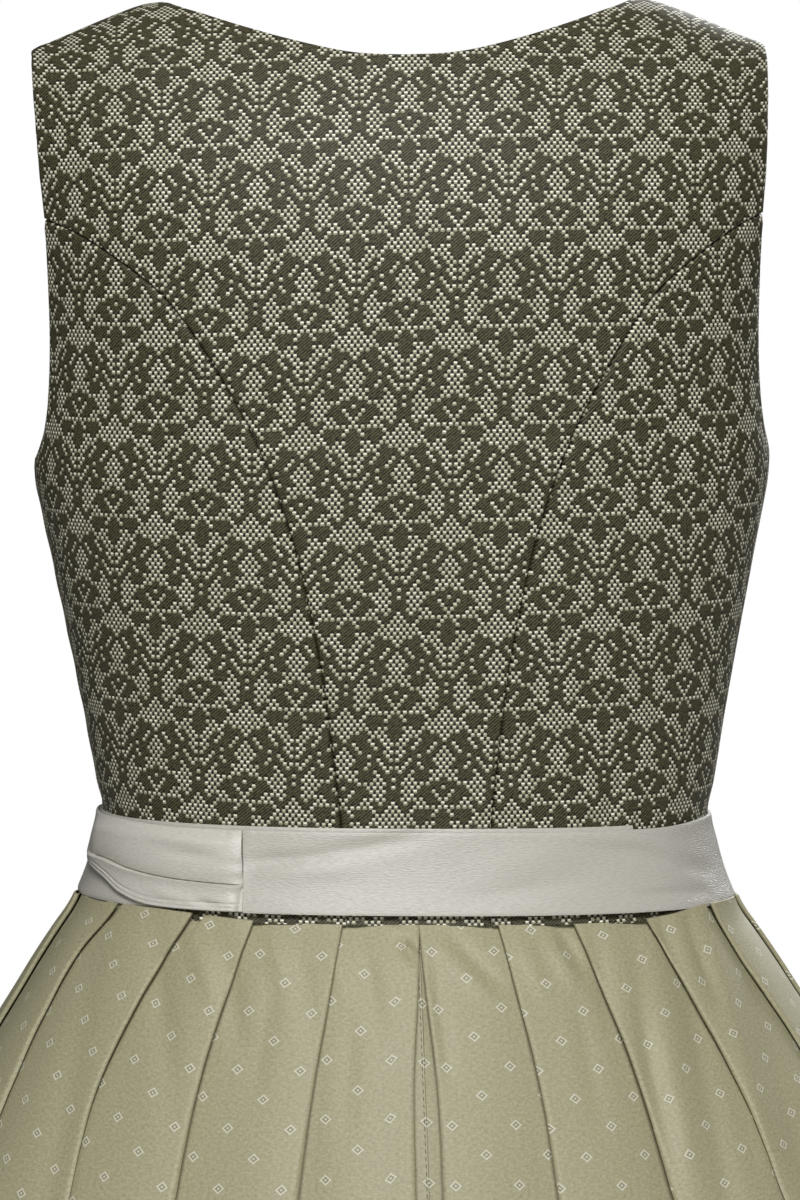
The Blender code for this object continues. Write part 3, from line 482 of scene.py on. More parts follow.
def fronts():
    """The two fronts with their straps, meeting edge to edge down the centre front."""
    seam = by_height(FRONT_SEAM)
    armhole = part_of(FRONT_ARMHOLE, low=FRONT_CORNER)
    turn = np.searchsorted(FRONT_NECK["along"], NECK_TURN)
    low_neck = {name: column[:turn + 1] for name, column in FRONT_NECK.items()}
    high_neck = {name: column[turn:] for name, column in FRONT_NECK.items()}
    base = coordinate(0.0, FRONT_NECK["z"][0])
    parts = []
    low = spread(WAIST_SEAM + SEAM_GAP / 2, base, BODICE_GRID, EDGE_STEPS)
    share = (low - low[0]) / (low[-1] - low[0])
    parts.append((0 * low, low, None, low[0] + (FRONT_SPLIT - low[0]) * share))
    share = np.linspace(0, 1, 24)[1:]
    x, height = along(low_neck, share)
    parts.append((x, height, None, FRONT_SPLIT + (seam["height"][-1] - FRONT_SPLIT) * share))
    share = rows_up(STRAP_LENGTH)[1:]
    x, height = along(high_neck, share)
    parts.append((x, height, *along(armhole, share)))
    rows = []
    for x, height, to_x, to_height in parts:
        to_x = read(seam, "x", to_height) if to_x is None else to_x
        rows.append([a[:, None] + (b - a)[:, None] * ACROSS for a, b in ((x, to_x), (height, to_height))])
    x, height = (np.concatenate(grids) for grids in zip(*rows))
    height = np.minimum(height, ROLL_HEIGHT + ROLL_LENGTH - SEAM_GAP)
    angle = angle_at(np.maximum(x, 0.001), height, False)
    about = np.array([0.0, FLOWER[1]])
    for side, word, turned_to in ((1, "left", angle), (-1, "right", 2 * CENTRE_FRONT - angle)):
        panel(f"front_{word}_cloth", f"bodice_front_{word}", turned_to, height, CENTRE_FRONT, about, 0,
              (side * FRONT_SHIFT, -about[1]), (False, True, True))


# --- rings round the dress ---
RING_STEPS = 360
RING_LADDER = 4.0  # between the levels whose outlines are kept for the bow


def ring(height):
    """The wearer's-left half of the outline at a height: distances from the centre back, and points."""
    points = body(math.pi / 2 - math.pi * np.arange(RING_STEPS + 1) / RING_STEPS, height)
    return np.concatenate([[0], np.cumsum(np.linalg.norm(np.diff(points, axis=0), axis=-1))]), points


def half_girth(height):
    return ring(height)[0][-1]


def on_ring(height, distance, out):
    """Points out from the outline, at distances round it from the centre back, left positive."""
    lengths, points = ring(height)
    far = np.minimum(np.abs(distance), lengths[-1])
    way = unit(np.gradient(points[:, :2], lengths, axis=0))
    x, y, way_x, way_y = (np.interp(far, lengths, column) for column in (*points.T[:2], *way.T))
    x, y = x - way_y * out, y + way_x * out
    beyond = np.maximum(np.abs(distance) - lengths[-1], 0)
    x = np.where(beyond > 0, -x - beyond, x)
    side = np.where(distance < 0, -1, 1)
    return np.stack([side * x, y, np.full(np.shape(x), float(height))], -1)


def on_front(height, distance, out):
    """As on_ring, but measured from the centre front, left positive."""
    side = np.where(distance < 0, -1, 1)
    return on_ring(height, side * (half_girth(height) - np.abs(distance)), out)


def thick(path, thickness):
    """The two sides of a wall about level paths, mitred at their corners."""
    step = np.diff(path, axis=-2)
    step = unit(np.concatenate([step[..., :1, :], step, step[..., -1:, :]], axis=-2))
    normal = np.stack([step[..., 1], -step[..., 0], 0 * step[..., 0]], -1)
    before, after = normal[..., :-1, :], normal[..., 1:, :]
    middle = unit(before + after)
    reach = thickness / 2 / np.maximum((middle * before).sum(-1, keepdims=True), 0.62)
    return path + middle * reach, path - middle * reach


def run_along(points, axis=1):
    """Distances from the first point along each line of points."""
    step = np.linalg.norm(np.diff(points, axis=axis), axis=-1)
    start = np.zeros_like(np.take(step, [0], axis=axis))
    return np.concatenate([start, np.cumsum(step, axis=axis)], axis=axis)


# --- skirt ---
SKIRT_WALL = 0.95
PLEATS_TO_SIDE, SIDE_FOLD = 11, 6
FOLDS_LEFT = (0, 32.6, 70.8, 98, 138.5, 184, 232)
FOLDS_RIGHT = (0, 34, 67.3, 101.5, 139.3, 189, 236)
# How far the folds swing outwards on their way down, counted from the centre back.
SWINGS_LEFT = table(
    "below f1 f2 f3 f4", (0, 0, 0, 0, 0), (16, 0, 0, 4.5, 9), (46, 0, -0.5, 8, 9), (68, 0, -1.5, 8.5, 5),
    (92, 0, -3, 5, 1), (116, 0, -4.6, 0.5, 0), (200, 0, -3, 0, 0), (400, 0, 0, 0, 0))
SWINGS_RIGHT = table(
    "below f1 f2 f3 f4", (0, 0, 0, 0, 0), (46, -0.5, -0.5, 1, 4), (68, -1.2, -1.5, 0, 3),
    (92, -2.2, -2.8, -2.4, 1), (116, -3, -4, -5, 0), (200, -2, -3, -3, 0), (400, 0, 0, 0, 0))
SWINGING = 4  # this many folds beside the centre back swing
WANDER_ROUND, WANDER_OUT, WANDER_GROWS, WANDER_LENGTHS = 0.9, 0.4, 160, (47, 21)  # as folds stray
SHUT, SHUT_FROM, SHUT_OVER = 0.25, 96.0, 60.0  # the pleats lie closer shut, above all round the sides
PLEAT_SHAPES = table(
    "below edge_u edge_v under_u under_v back_u back_v inner_u inner_v dip_u dip_v gap",
    (0, 0, 0, 0, -1.3, 27, -5.2, 27, -7.1, -1.6, -3.8, 0.25),
    (22, 0.2, 0.6, 0, -0.7, 27.5, -5.7, 27.5, -8.0, -1.8, -4.5, 1.6),
    (60, 0.5, 1.8, -0.2, 0.5, 28, -5.8, 28, -8.6, -3, -5.6, 4.9),
    (115, 1, 3.4, -0.7, 2.1, 26, -5.2, 26, -8.8, -5.5, -6.8, 6.8),
    (190, 2, 5.0, -2, 3.6, 20, -4.6, 18, -9.6, -11, -8.4, 12),
    (290, 3.6, 6.8, -3.6, 5.2, 6, -5, 0, -10.2, -22, -9.6, 23),
    (400, 5.4, 8.4, -5.4, 6.6, -9, -5.8, -18, -10.9, -34, -10.4, 32),
    (520, 7.2, 9.4, -7, 7.5, -18, -6, -31, -11, -45, -10.4, 42),
    (650, 9, 10, -9, 8, -26, -6, -40, -11, -56, -10, 50))
UNDERLAY_RISE = 0.45  # at the centre back the underlay comes forward to this share of its depth
UNDERLAY_CLEAR, LAYER, FACE_BULGE = 3.0, 1.9, 1.2
CENTRE_GAP = 0.08  # the seam at the centre back is pressed shut
FACE_SHARES = (0.08, 0.2, 0.33, 0.47, 0.61, 0.75, 0.88)
FACE_SOFTENS, FACE_RIPPLE, RIPPLE_LENGTH = 120, 0.5, 60  # lower down the faces swell and ripple more
DIP_BEHIND, DIP_SHUT = 1.7, 0.75  # where a pleat's face ends behind the next fold, once it is shut
CORNER_REACH = (4, 4, 0.7, 0.7, 4, 4, 0.9, 0.9)  # over which the underlay's corners turn
FACE_REACH, CORNER_LIMIT = 2.5, 0.42
SKIRT_LEVELS = np.array([SEAM_GAP, 1.2, 2.6, 4.5, *np.linspace(6.5, 58, 26), *np.linspace(62, 250, 36),
                         *np.linspace(264, 642, 27), 645, 647.4, 649, 650])

# At the sides the top of the skirt stands up over the waist seam, as thick seam turnings make it.
STANDS = {
    1: table("side up out", (0, 0.9, 0), (58, 0.9, 0), (70, 1.6, 0.3), (91, 3, 0.8), (104, 4.2, 1.1),
             (116, 4.8, 1.2), (170, 4.8, 1), (200, 3.8, 0.3), (262, 0, 0)),
    -1: table("side up out", (0, 0.9, 0), (84, 0.9, 0), (100, 1.6, 0.5), (116, 3.4, 1.3), (130, 5.6, 1.8),
              (148, 6.6, 1.6), (170, 6, 0.8), (190, 4.6, 0.2), (215, 4.4, 0.2), (262, 0, 0))}
STAND_UP_FADE, STAND_OUT_FADE = 6, 12
FACES_FROM = -3  # what lies further in than this is under a pleat's face

# Where the woven diamonds fall on each pleat: from its fold edge, and below the waist seam.
DIAMOND_ACROSS, DIAMOND_DOWN = 13.7, 26.7
DIAMONDS_LEFT = ((8.9, 10.3), (5.6, 16.0), (4.4, 17.8), (8.5, 16.8))
DIAMONDS_RIGHT = ((3.7, 13.2), (-0.8, 16.0), (10.2, 6.2), (8.7, 6.8))
UNDERLAY_DROP = 1.41 * DIAMOND_DOWN  # of the diamonds between the folds at the centre back
STITCH_PITCH, STITCH_BESIDE, STITCH_LENGTH, STITCH_THICK = 2.9, 0.9, 2.1, 0.45

# Soft creases of the skirt's back, written as those of the bodice. Lower than this there are none.
CREASED_TO = 220
SKIRT_BACK_CREASES = (
    (9, -401, 1, -409, 2.2, -4.4), (12, -397, 4, -404, 2.7, 1.4), (-13, -401, -33, -419, 3.2, -2.1),
    (-10, -405, -30, -425, 4.0, 1.2), (-5.5, -408, -10, -455, 3.1, -1.5), (-42, -400, -52, -423, 4.0, 1.2),
    (-59, -398, -70, -414, 3.1, -2.2), (-56, -402, -66, -420, 3.6, 1.5), (-75, -399, -80, -436, 4.0, -1.4),
    (-104, -396, -111, -414, 3.0, -1.5), (-111, -398, -120, -430, 3.2, 1.1),
    (-117, -397, -128, -428, 2.8, -2.0), (-66, -424, -73, -476, 4.5, -1.0),
    (-92, -428, -101, -478, 4.0, -1.1), (-100, -440, -110, -490, 4.0, 0.9), (30, -430, 34, -480, 4.5, -0.8),
    (62, -418, 72, -462, 4.0, -1.0), (24, -402, 19, -436, 4.1, -1.4), (40, -400, 33, -424, 4.1, 1.1),
    (52, -401, 46, -440, 4.5, -1.2), (63, -399, 58, -418, 3.6, 1.4), (84, -402, 76, -446, 5.0, -1.5),
    (96, -400, 88, -424, 4.0, 1.5), (112, -398, 106, -470, 5.4, -1.6), (-92, -402, -104, -520, 5.0, -1.5),
    (-100, -404, -116, -540, 5.4, 1.2), (-112, -400, -134, -560, 5.4, -1.8),
    (-126, -400, -150, -520, 4.5, 1.5), (-140, -404, -176, -560, 5.9, -1.8),
    (136, -402, 170, -560, 6.3, -1.5),
)


def fold_shares(measured):
    """Fold edges as shares of the way round the waist seam from the centre back to the front."""
    waist = half_girth(WAIST_SEAM)
    pitch = (waist - measured[-1]) / (PLEATS_TO_SIDE - len(measured) + 1)
    rest = measured[-1] + pitch * np.arange(1, PLEATS_TO_SIDE - len(measured) + 1)
    return np.array([*measured, *rest]) / waist


def rounded(path, reach):
    """Lines of points with each corner turned over its reach, which makes three points of it."""
    before, after = path[1:-1] - path[:-2], path[2:] - path[1:-1]
    reach = np.array(reach[1:-1])[:, None, None]
    a_length, b_length = (np.linalg.norm(way, axis=-1, keepdims=True) for way in (before, after))
    a = path[1:-1] - before * np.minimum(reach / np.maximum(a_length, 1e-6), CORNER_LIMIT)
    b = path[1:-1] + after * np.minimum(reach / np.maximum(b_length, 1e-6), CORNER_LIMIT)
    turn = np.stack([a, (a + b) / 4 + path[1:-1] / 2, b], 1)
    return np.concatenate([path[:1], turn.reshape(-1, *path.shape[1:]), path[-1:]])


def wander(below, phase, size):
    """How a pressed fold strays from a straight line on its way down."""
    long, short = (below / length for length in WANDER_LENGTHS)
    grow = smoothstep(below / WANDER_GROWS)
    return size * grow * (np.sin(long + phase) + 0.6 * np.sin(short + 2.3 * phase))


def between(a, b):
    """Two points on the way from one to the other."""
    return [tuple(p + (q - p) * share for p, q in zip(a, b)) for share in (0.33, 0.66)]


def pleated_paths(measured, swings, phases):
    """Half of the skirt from the centre back on, as distances round and out on all levels.

    With it come the numbers of the points that lie on its inner folds and on its fold edges.
    """
    below = SKIRT_LEVELS
    shape = {name: read(PLEAT_SHAPES, name, below) for name in PLEAT_SHAPES}
    girth = np.array([half_girth(WAIST_SEAM - level) for level in below])
    folds = fold_shares(measured)[:, None] * (girth - shape["gap"]) + shape["gap"]
    points = [(CENTRE_GAP / 2 + 0 * below, UNDERLAY_RISE * shape["inner_v"])]
    reach, fold_at, edge_at = [0], [], []
    for k, fold in enumerate(folds):
        last = k + 1 == len(folds)
        after = girth if last else folds[k + 1]
        stray = wander(below, phases[k], WANDER_ROUND)
        if 0 < k <= SWINGING:
            stray = stray + read(swings, f"f{k}", below)
        edge = fold + shape["edge_u"] + stray, shape["edge_v"] + wander(below, phases[k] + 2, WANDER_OUT)
        under = fold + shape["under_u"] + stray, shape["under_v"]
        if last:
            end = girth, (edge[1] + shape["dip_v"]) / 2
        else:
            shut = SHUT + (1 - SHUT) * smoothstep((after - SHUT_FROM) / SHUT_OVER)
            next_stray = read(swings, f"f{k + 1}", below) if k < SWINGING else 0
            dip_v = shape["dip_v"] + (shape["under_v"] - DIP_BEHIND - shape["dip_v"]) * shut
            end = after + next_stray + shape["dip_u"] * (1 - DIP_SHUT * shut), dip_v
        deepest = end[0] - UNDERLAY_CLEAR
        back_u = np.minimum(fold + shape["back_u"], deepest)
        beside = under[1] + (back_u - under[0]) * (end[1] - edge[1]) / (end[0] - edge[0])
        back = back_u, np.minimum(shape["back_v"], beside)
        inner_u = np.minimum(fold + shape["inner_u"], deepest)
        inner = inner_u, np.minimum(shape["inner_v"], back[1] - LAYER)
        points += [*between(points[-1], inner), inner, back]
        fold_at.append(len(points) - 2)
        points += [*between(back, under), under, edge]
        edge_at.append(len(points) - 1)
        reach += [*CORNER_REACH, *[FACE_REACH] * (len(FACE_SHARES) + 1)]
        soft = 0.5 + 0.5 * smoothstep(below / FACE_SOFTENS)
        ripple = FACE_RIPPLE * np.sin(below / RIPPLE_LENGTH + phases[k] * 3)
        for share in FACE_SHARES:
            swell = soft * (FACE_BULGE * math.sin(math.pi * share) + ripple * math.sin(2 * math.pi * share))
            u, v = (a + (b - a) * share for a, b in zip(edge, end))
            points.append((u, v + swell))
        points.append(end)
    path = rounded(np.array([np.stack(np.broadcast_arrays(*p), -1) for p in points]), reach)
    fold_at, edge_at = ([3 * i - 1 for i in marks] for marks in (fold_at, edge_at))
    return path.transpose(1, 0, 2), fold_at, edge_at


def skirt_half(measured, swings, side, diamonds, phases):
    """The middle of the cloth of one half in space, and the flat places before and after each point.

    Every pleat's diamonds are counted from its fold edge.
    """
    path, fold_at, edge_at = pleated_paths(measured, swings, phases)
    rows = []
    for level, line in zip(SKIRT_LEVELS, path):
        points = on_ring(WAIST_SEAM - level, side * line[:, 0], line[:, 1])
        rise = creased(points, True, SKIRT_BACK_CREASES) if level < CREASED_TO else 0
        rise = rise + (read(STANDS[side], "out", line[:, 0]) * (line[:, 1] > FACES_FROM)
                       * math.exp(-level / STAND_OUT_FADE))
        points = on_ring(WAIST_SEAM - level, side * line[:, 0], line[:, 1] + rise)
        points[:, 2] += read(STANDS[side], "up", line[:, 0]) * math.exp(-level / STAND_UP_FADE)
        rows.append(points)
    points = np.array(rows)
    round_it, down = run_along(points), run_along(points, 0)
    places = np.stack([round_it, -down], -1)
    start, end = places.copy(), places.copy()
    folds = [*fold_at, path.shape[1] - 1]
    for k, edge in enumerate(edge_at):
        across, drop = diamonds[k % len(diamonds)]
        about = np.stack([round_it[:, edge] + across, 0 * down[:, 0] - drop], -1)[:, None]
        start[:, folds[k]:folds[k + 1]] = places[:, folds[k]:folds[k + 1]] - about
        end[:, folds[k] + 1:folds[k + 1] + 1] = places[:, folds[k] + 1:folds[k + 1] + 1] - about
    start[:, -1] = end[:, -1]
    for grid in (start, end):
        grid[:, :folds[0]] += [0, UNDERLAY_DROP]
    end[:, folds[0]] += [0, UNDERLAY_DROP]
    return points, start, end, fold_at[SIDE_FOLD]


def centre_stitches():
    """The running stitch beside the centre back seam, seen between the two folds that meet there."""
    below = np.arange(20, 640, STITCH_PITCH)
    depth = UNDERLAY_RISE * read(PLEAT_SHAPES, "inner_v", below) + SKIRT_WALL / 2
    points = np.array([on_ring(WAIST_SEAM - level, STITCH_BESIDE, v) for level, v in zip(below, depth)])
    rise = creased(points, True, SKIRT_BACK_CREASES) * (below < CREASED_TO)
    outs = unit(np.stack([0 * below, np.ones(len(below)), np.gradient(points[:, 1], below)], -1))
    stitches("centre_back_stitches", points + outs * rise[:, None], outs)


def skirt_cloth(name, node, points, uv, uv_end):
    """A length of the skirt's cloth, with the width that it was cut to before it was pleated."""
    outer, inner = thick(points, SKIRT_WALL)
    piece = wall(name, outer, inner, uv, "skirt_cotton", uv_end)
    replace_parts(piece, node)


def skirt():
    """Three lengths of cloth, sewn down the centre back and inside the pleats at the sides."""
    phases = rng.uniform(0, 6.28, (2, PLEATS_TO_SIDE))
    halves = [skirt_half(FOLDS_LEFT, SWINGS_LEFT, 1, DIAMONDS_LEFT, phases[0]),
              skirt_half(FOLDS_RIGHT, SWINGS_RIGHT, -1, DIAMONDS_RIGHT, phases[1])]
    front, front_uv = [], []
    for word, (points, start, end, seam) in zip(("left", "right"), halves):
        before, after = points[:, seam - 3], points[:, seam - 2]
        middle, step = (before + after) / 2, unit(after - before) * SEAM_GAP / 2
        skirt_cloth(f"skirt_{word}_cloth", f"skirt_back_{word}",
                    np.concatenate([points[:, :seam - 2], (middle - step)[:, None]], 1),
                    start[:, :seam - 1], end[:, :seam - 1])
        front.append(np.concatenate([(middle + step)[:, None], points[:, seam - 2:]], 1))
        front_uv.append((start[:, seam - 3:], end[:, seam - 3:]))
    (left, left_end), (right, right_end) = front_uv
    flip = np.array([-1, 1])
    skirt_cloth("skirt_front_cloth", "skirt_front",
                np.concatenate([front[0], front[1][:, -2::-1]], 1),
                np.concatenate([left, right_end[:, -2::-1] * flip], 1),
                np.concatenate([left_end, right[:, -2::-1] * flip], 1))


# --- apron and its ties ---
LAID_GAP = 0.45  # between pieces that lie on one another
SATIN_WALL, RIBBON_WALL = 1.4, 1.1  # a double layer and a single hemmed one
APRON_SHAPES = table(
    "below half_width out wave",
    (-3.9, 150, 1.3, 0.0), (3, 151, 4.4, 0.5), (22, 158, 5.9, 1.3), (60, 172, 8.8, 2.3),
    (115, 190, 12.6, 3.2), (190, 216, 16.0, 3.9), (290, 248, 18.6, 4.5), (400, 278, 20.4, 4.9),
    (520, 306, 21.4, 5.2), (600, 326, 21.8, 5.4))
GATHERS, SMALL_GATHERS = 14, 54
SMALL_FADE, SMALL_GROW, SMALL_RISE, MIDDLE_RISE = 70, 12, 0.8, 0.7
APRON_LENGTH, HEM_FROM, HEM_RISE = 600, 582, 0.25
BAND_TOP, BAND_BOTTOM, BAND_STEP = -355.5, -391.6, 1.6
END_LEAN = math.radians(2.4)  # the end of the waistband stands upright, though the waist widens
BAND_INNER_END, BAND_OUTER_END, LAP_FROM, LAP_FULL = 130.6, -297.8, -196.0, -224.0
TIE_START, KNOT_ANGLE = BAND_OUTER_END + 360.0, -71.0
TIE_EDGES = table(
    "angle top bottom",
    (-71, -361, -386), (-50, -359, -384), (-25, -357, -379), (-8, -356, -376.5), (8, -356, -376.5),
    (22, -356, -381), (32, -356.6, -387), (42, -357.1, -390.4), (64, -357.3, -391.2))
BAND_CREASES = (
    (72, -369, 40, -366.5, 3.1, -1.5), (42, -366.5, -8, -357.5, 3.6, -1.4), (62, -374, 24, -371, 4.2, 0.8),
    (-30, -372, -70, -366, 6.8, 0.7), (-84, -360, -124, -375, 3.4, 0.7), (-88, -365, -126, -380, 4.0, -1.0),
    (-92, -372, -128, -385, 4.0, 0.6), (-60, -359, -96, -364, 3.4, 0.8), (-20, -385, -70, -379, 4.2, -0.7),
    (-96, -386, -124, -388, 2.2, -1.2),
)
TIE_CREASES = (
    (126, -350, 80, -357, 2.0, -1.3), (122, -355, 84, -362, 2.9, 1.0), (104, -366, 84, -367, 2.2, -0.8),
    (92, -386, 84, -387, 1.5, -1.4), (110, -382, 96, -385, 2.2, 0.8),
)
# The tie's cloth laps over itself lengthwise: the height of the step along it, and how full it is.
TIE_LAP = table("angle z", (8, -373.5), (22, -373.8), (32, -376.4), (42, -378.4), (52, -379.6), (64, -380.4))
TIE_SWELL, LAP_SLIT = 3.1, 0.45
HEM_ROWS, HEM_ROW_WIDTH = (1.2, 2.9), 0.42  # two rows of stitching above the tie's lower edge


def apron():
    """The apron's cloth, gathered into the waistband, with a turned hem."""
    across = np.linspace(-1, 1, 331)
    levels = np.array([-3.9, -2, 0, *np.linspace(3, 590, 90), 594, 597, 599, APRON_LENGTH])
    fine = rng.uniform(0, 6.28, 3)
    rows = []
    for below in levels:
        half, out, wave = columns(APRON_SHAPES, below)
        rise = out + wave * np.cos(math.pi * GATHERS * across)
        small = math.exp(-max(below, 0) / SMALL_FADE) * min(1, (below + 4) / SMALL_GROW)
        uneven = 1.6 * np.sin(9 * across + fine[0])
        rise = rise + small * SMALL_RISE * np.sin(SMALL_GATHERS * math.pi * across + uneven)
        rise = rise + MIDDLE_RISE * small * np.sin(37 * math.pi * across + fine[1] + below / 40)
        rise = rise + 0.15 * wave * np.sin(5.3 * math.pi * across + fine[2] + below / 120)
        if below > HEM_FROM:
            rise = rise + HEM_RISE
        rows.append(on_front(WAIST_SEAM - below, across * half, rise))
    points = np.array(rows)
    uv = np.stack([run_along(points), -run_along(points, 0)], -1)
    outer, inner = thick(points, SATIN_WALL)
    made = wall("apron_cloth", outer, inner, uv, "satin")
    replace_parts(made, "apron")


def lapped(angle):
    """How far the waistband has climbed onto its own first turn, from 0 to 1."""
    return smoothstep((LAP_FROM - angle) / (LAP_FROM - LAP_FULL))


STRIP_SHARES = np.array([0, 0.015, 0.04, 0.08, *np.linspace(0.12, 0.88, 26), 0.92, 0.96, 0.985, 1])[:, None]
STRIP_ROLL, STRIP_ROLL_WIDTH = 0.45, 0.5
BAND_DEGREES, TIE_DEGREES = 1.05, 0.8  # from one column of points to the next
END_SWELL, END_SWELL_DEGREES = 0.5, 0.7  # the turned end of the waistband is thicker


def strip(name, node, angles, top, bottom, lift, thickness, creases, finish, more,
          share=STRIP_SHARES, ends_at=0):
    """A strip of cloth laid round the waist. Top, bottom and lift are arrays along it.

    more adds folds of its own. share says where its rows run, from 0 at the bottom to 1 at the top.
    """
    angle, height = np.broadcast_arrays(np.radians(angles), bottom + (top - bottom) * share)
    angle = angle + END_LEAN * (0.5 - share) * np.exp(-np.abs(angles - BAND_OUTER_END - ends_at) / 9)
    points, out = body(angle, height), outward(angle, height)
    rise = creased(settled(points), True, creases) + more(np.degrees(angle), height)
    edge = np.minimum(share, 1 - share) * (top - bottom)
    rise = rise - STRIP_ROLL * np.exp(-edge / STRIP_ROLL_WIDTH)
    inner = points + out * (lift + np.clip(rise, -0.15, 0.3))[..., None]
    outer = points + out * (lift + thickness + rise)[..., None]
    uv = np.stack([run_along(points), height - height[:1]], -1)
    cloth(name, node, outer, inner, uv, finish)


def waistband():
    """The apron's waistband, once round the waist and on over its own first turn across the back."""
    angles = np.arange(BAND_INNER_END, BAND_OUTER_END - 0.01, -BAND_DEGREES)
    angles = np.append(angles[:-1], BAND_OUTER_END)
    strip("band_cloth", "apron_waistband", angles, BAND_TOP - BAND_STEP * lapped(angles),
          BAND_BOTTOM + 0 * angles, LAID_GAP + (SATIN_WALL + LAID_GAP) * lapped(angles), SATIN_WALL,
          BAND_CREASES, "satin",
          lambda angle, height: END_SWELL * np.exp(-np.abs(angle - BAND_OUTER_END) / END_SWELL_DEGREES))


def tie():
    """The wearer's left tie, from the lapping end of the waistband round to the knot."""
    first, last = TIE_START - 0.25, KNOT_ANGLE + 5
    angles = np.append(np.arange(first, last, -TIE_DEGREES), last)
    top, bottom = columns(TIE_EDGES, angles)

    def folds(angle, height):
        """The two folds on both sides of the slit, the rows of hem stitching and the pucker at the seam."""
        shown = smoothstep((angle - 2) / 14)
        over = height - read(TIE_LAP, "z", angle)
        under_top = smoothstep((read(TIE_EDGES, "top", angle) - height) / 6)
        above = 0.5 + TIE_SWELL * (1 - np.exp(-np.maximum(over, 0) / 4.6)) * under_top
        below = TIE_SWELL * (0.2 + 0.9 * np.exp(np.minimum(over, 0) / 5.0))
        slit = (np.abs(over) < LAP_SLIT / 2) * smoothstep((angle - 12) / 10)
        hem = height - read(TIE_EDGES, "bottom", angle)
        rows = sum(bump_at(hem, place, HEM_ROW_WIDTH) for place in HEM_ROWS)
        seam = first - angle
        pucker = 0.4 * np.exp(-seam / 3) * np.sin(height / 1.3 + 1.5 * np.sin(height / 5))
        flat = 1 - 0.7 * np.exp(-seam / 2.2)
        swell = np.where(over > 0, above, below) * (1 - slit) - 0.75 * slit
        return shown * (swell * flat - 0.5 * rows) - 0.7 * np.exp(-seam / 0.5) + pucker

    at = (read(TIE_LAP, "z", angles) - bottom) / (top - bottom)
    half_slit = 0.75 * LAP_SLIT / (top - bottom)
    rows_below = np.array([0, 0.04, *np.linspace(0.09, 0.94, 19), 1])[:, None]
    rows_above = np.array([0, 0.03, *np.linspace(0.07, 0.9, 22), 0.95, 0.98, 1])[:, None]
    share = np.concatenate([rows_below * (at - half_slit), at[None],
                            at + half_slit + rows_above * (1 - at - half_slit)])
    lift = np.full(len(angles), 2 * LAID_GAP + SATIN_WALL)
    # Its satin is a paler copy of the band's: painted sheen.
    strip("tie_cloth", "apron_tie", angles, top, bottom, lift, RIBBON_WALL, TIE_CREASES, "tie_satin_painted_sheen",
          folds, share, 360)


# --- bow ---
KNOT_WIDTH, KNOT_HEIGHT, KNOT_THICK, KNOT_PINCH = 25.0, 37.0, 13.0, 0.04
KNOT_LEVEL, KNOT_SQUARE = (BAND_TOP + BAND_BOTTOM) / 2, 3.2
LOOP_PATH = table(
    "step along out half_height drop",
    (0, 0, 9.5, 13, 0), (1, 13, 13.5, 16, 0), (2, 30, 17.5, 20, 1), (3, 48, 19.5, 22.5, 2),
    (4, 64, 18.5, 23.5, 3), (5, 74, 15, 23.5, 3.5), (6, 76, 11.5, 23, 3.5), (7, 69, 8.2, 22.5, 3),
    (8, 51, 6.7, 21, 2), (9, 32, 6.2, 18, 1), (10, 13, 5.6, 14.5, 0), (11, 0, 5.6, 12, 0))
LOOP_FLARE = 0.3  # how far a loop stands out for each millimetre below the waistband
LOOP_GATHER, LOOP_GATHERS, GATHER_FADE, LOOP_CLEAR = 0.9, 5.5, 26, 5.3
TAIL_SHAPES = table(
    "below half_width out spread",
    (1.2, 7, 3.2, 8), (9, 9, 6.6, 10), (28, 14, 9.8, 15), (66, 20, 14.2, 22), (121, 25, 18.4, 29),
    (196, 29, 22.2, 36), (296, 32, 25.4, 43), (346, 34, 26.4, 47))
TAIL_SLANT, TAIL_FOLD, TAIL_RIPPLE = 34.0, 2.0, 0.5
TAIL_TOP, TAIL_LENGTH = 1.2, 346


def knot_distance():
    """How far the knot lies from the centre front, round the waist."""
    lengths, points = ring(KNOT_LEVEL)
    spot = body(math.radians(KNOT_ANGLE), KNOT_LEVEL)
    return lengths[-1] - lengths[np.linalg.norm(points - spot, axis=-1).argmin()]


def on_fronts(height, distance, out):
    """As on_front for points on many levels, between the nearest levels of a ladder of rings."""
    height, distance, out = (np.array(grid, float) for grid in np.broadcast_arrays(height, distance, out))
    rung = np.floor(height / RING_LADDER).astype(int)
    points = np.zeros((*height.shape, 3))
    for level in np.unique(rung):
        here = rung == level
        low, high = (on_front(RING_LADDER * (level + k), distance[here], out[here]) for k in (0, 1))
        points[here] = low + (high - low) * (height[here] / RING_LADDER - level)[:, None]
    return points


def knot():
    """The wrap in the middle of the bow, with soft folds running over it."""
    base = 3 * LAID_GAP + SATIN_WALL + RIBBON_WALL
    tall, wide = np.meshgrid(np.linspace(-1, 1, 33), np.linspace(-1, 1, 41), indexing="ij")
    full = np.sqrt((1 - np.abs(wide) ** KNOT_SQUARE) * (1 - np.abs(tall) ** KNOT_SQUARE))
    u = knot_distance() + wide * KNOT_WIDTH / 2 * (1 - KNOT_PINCH * np.cos(math.pi * tall))
    height = KNOT_LEVEL + tall * KNOT_HEIGHT / 2
    folds = 0.6 * full * np.sin(7 * wide + 1.2 * tall + 0.6 * np.sin(3 * tall))
    inner = on_fronts(height, u, base + 0 * u)
    outer = on_fronts(height, u, base + 2.0 + (KNOT_THICK - 2.4) * full + folds)
    uv = np.stack([run_along(outer), height - height[0, 0]], -1)
    cloth("knot_cloth", "bow_knot", outer, inner, uv, "satin")


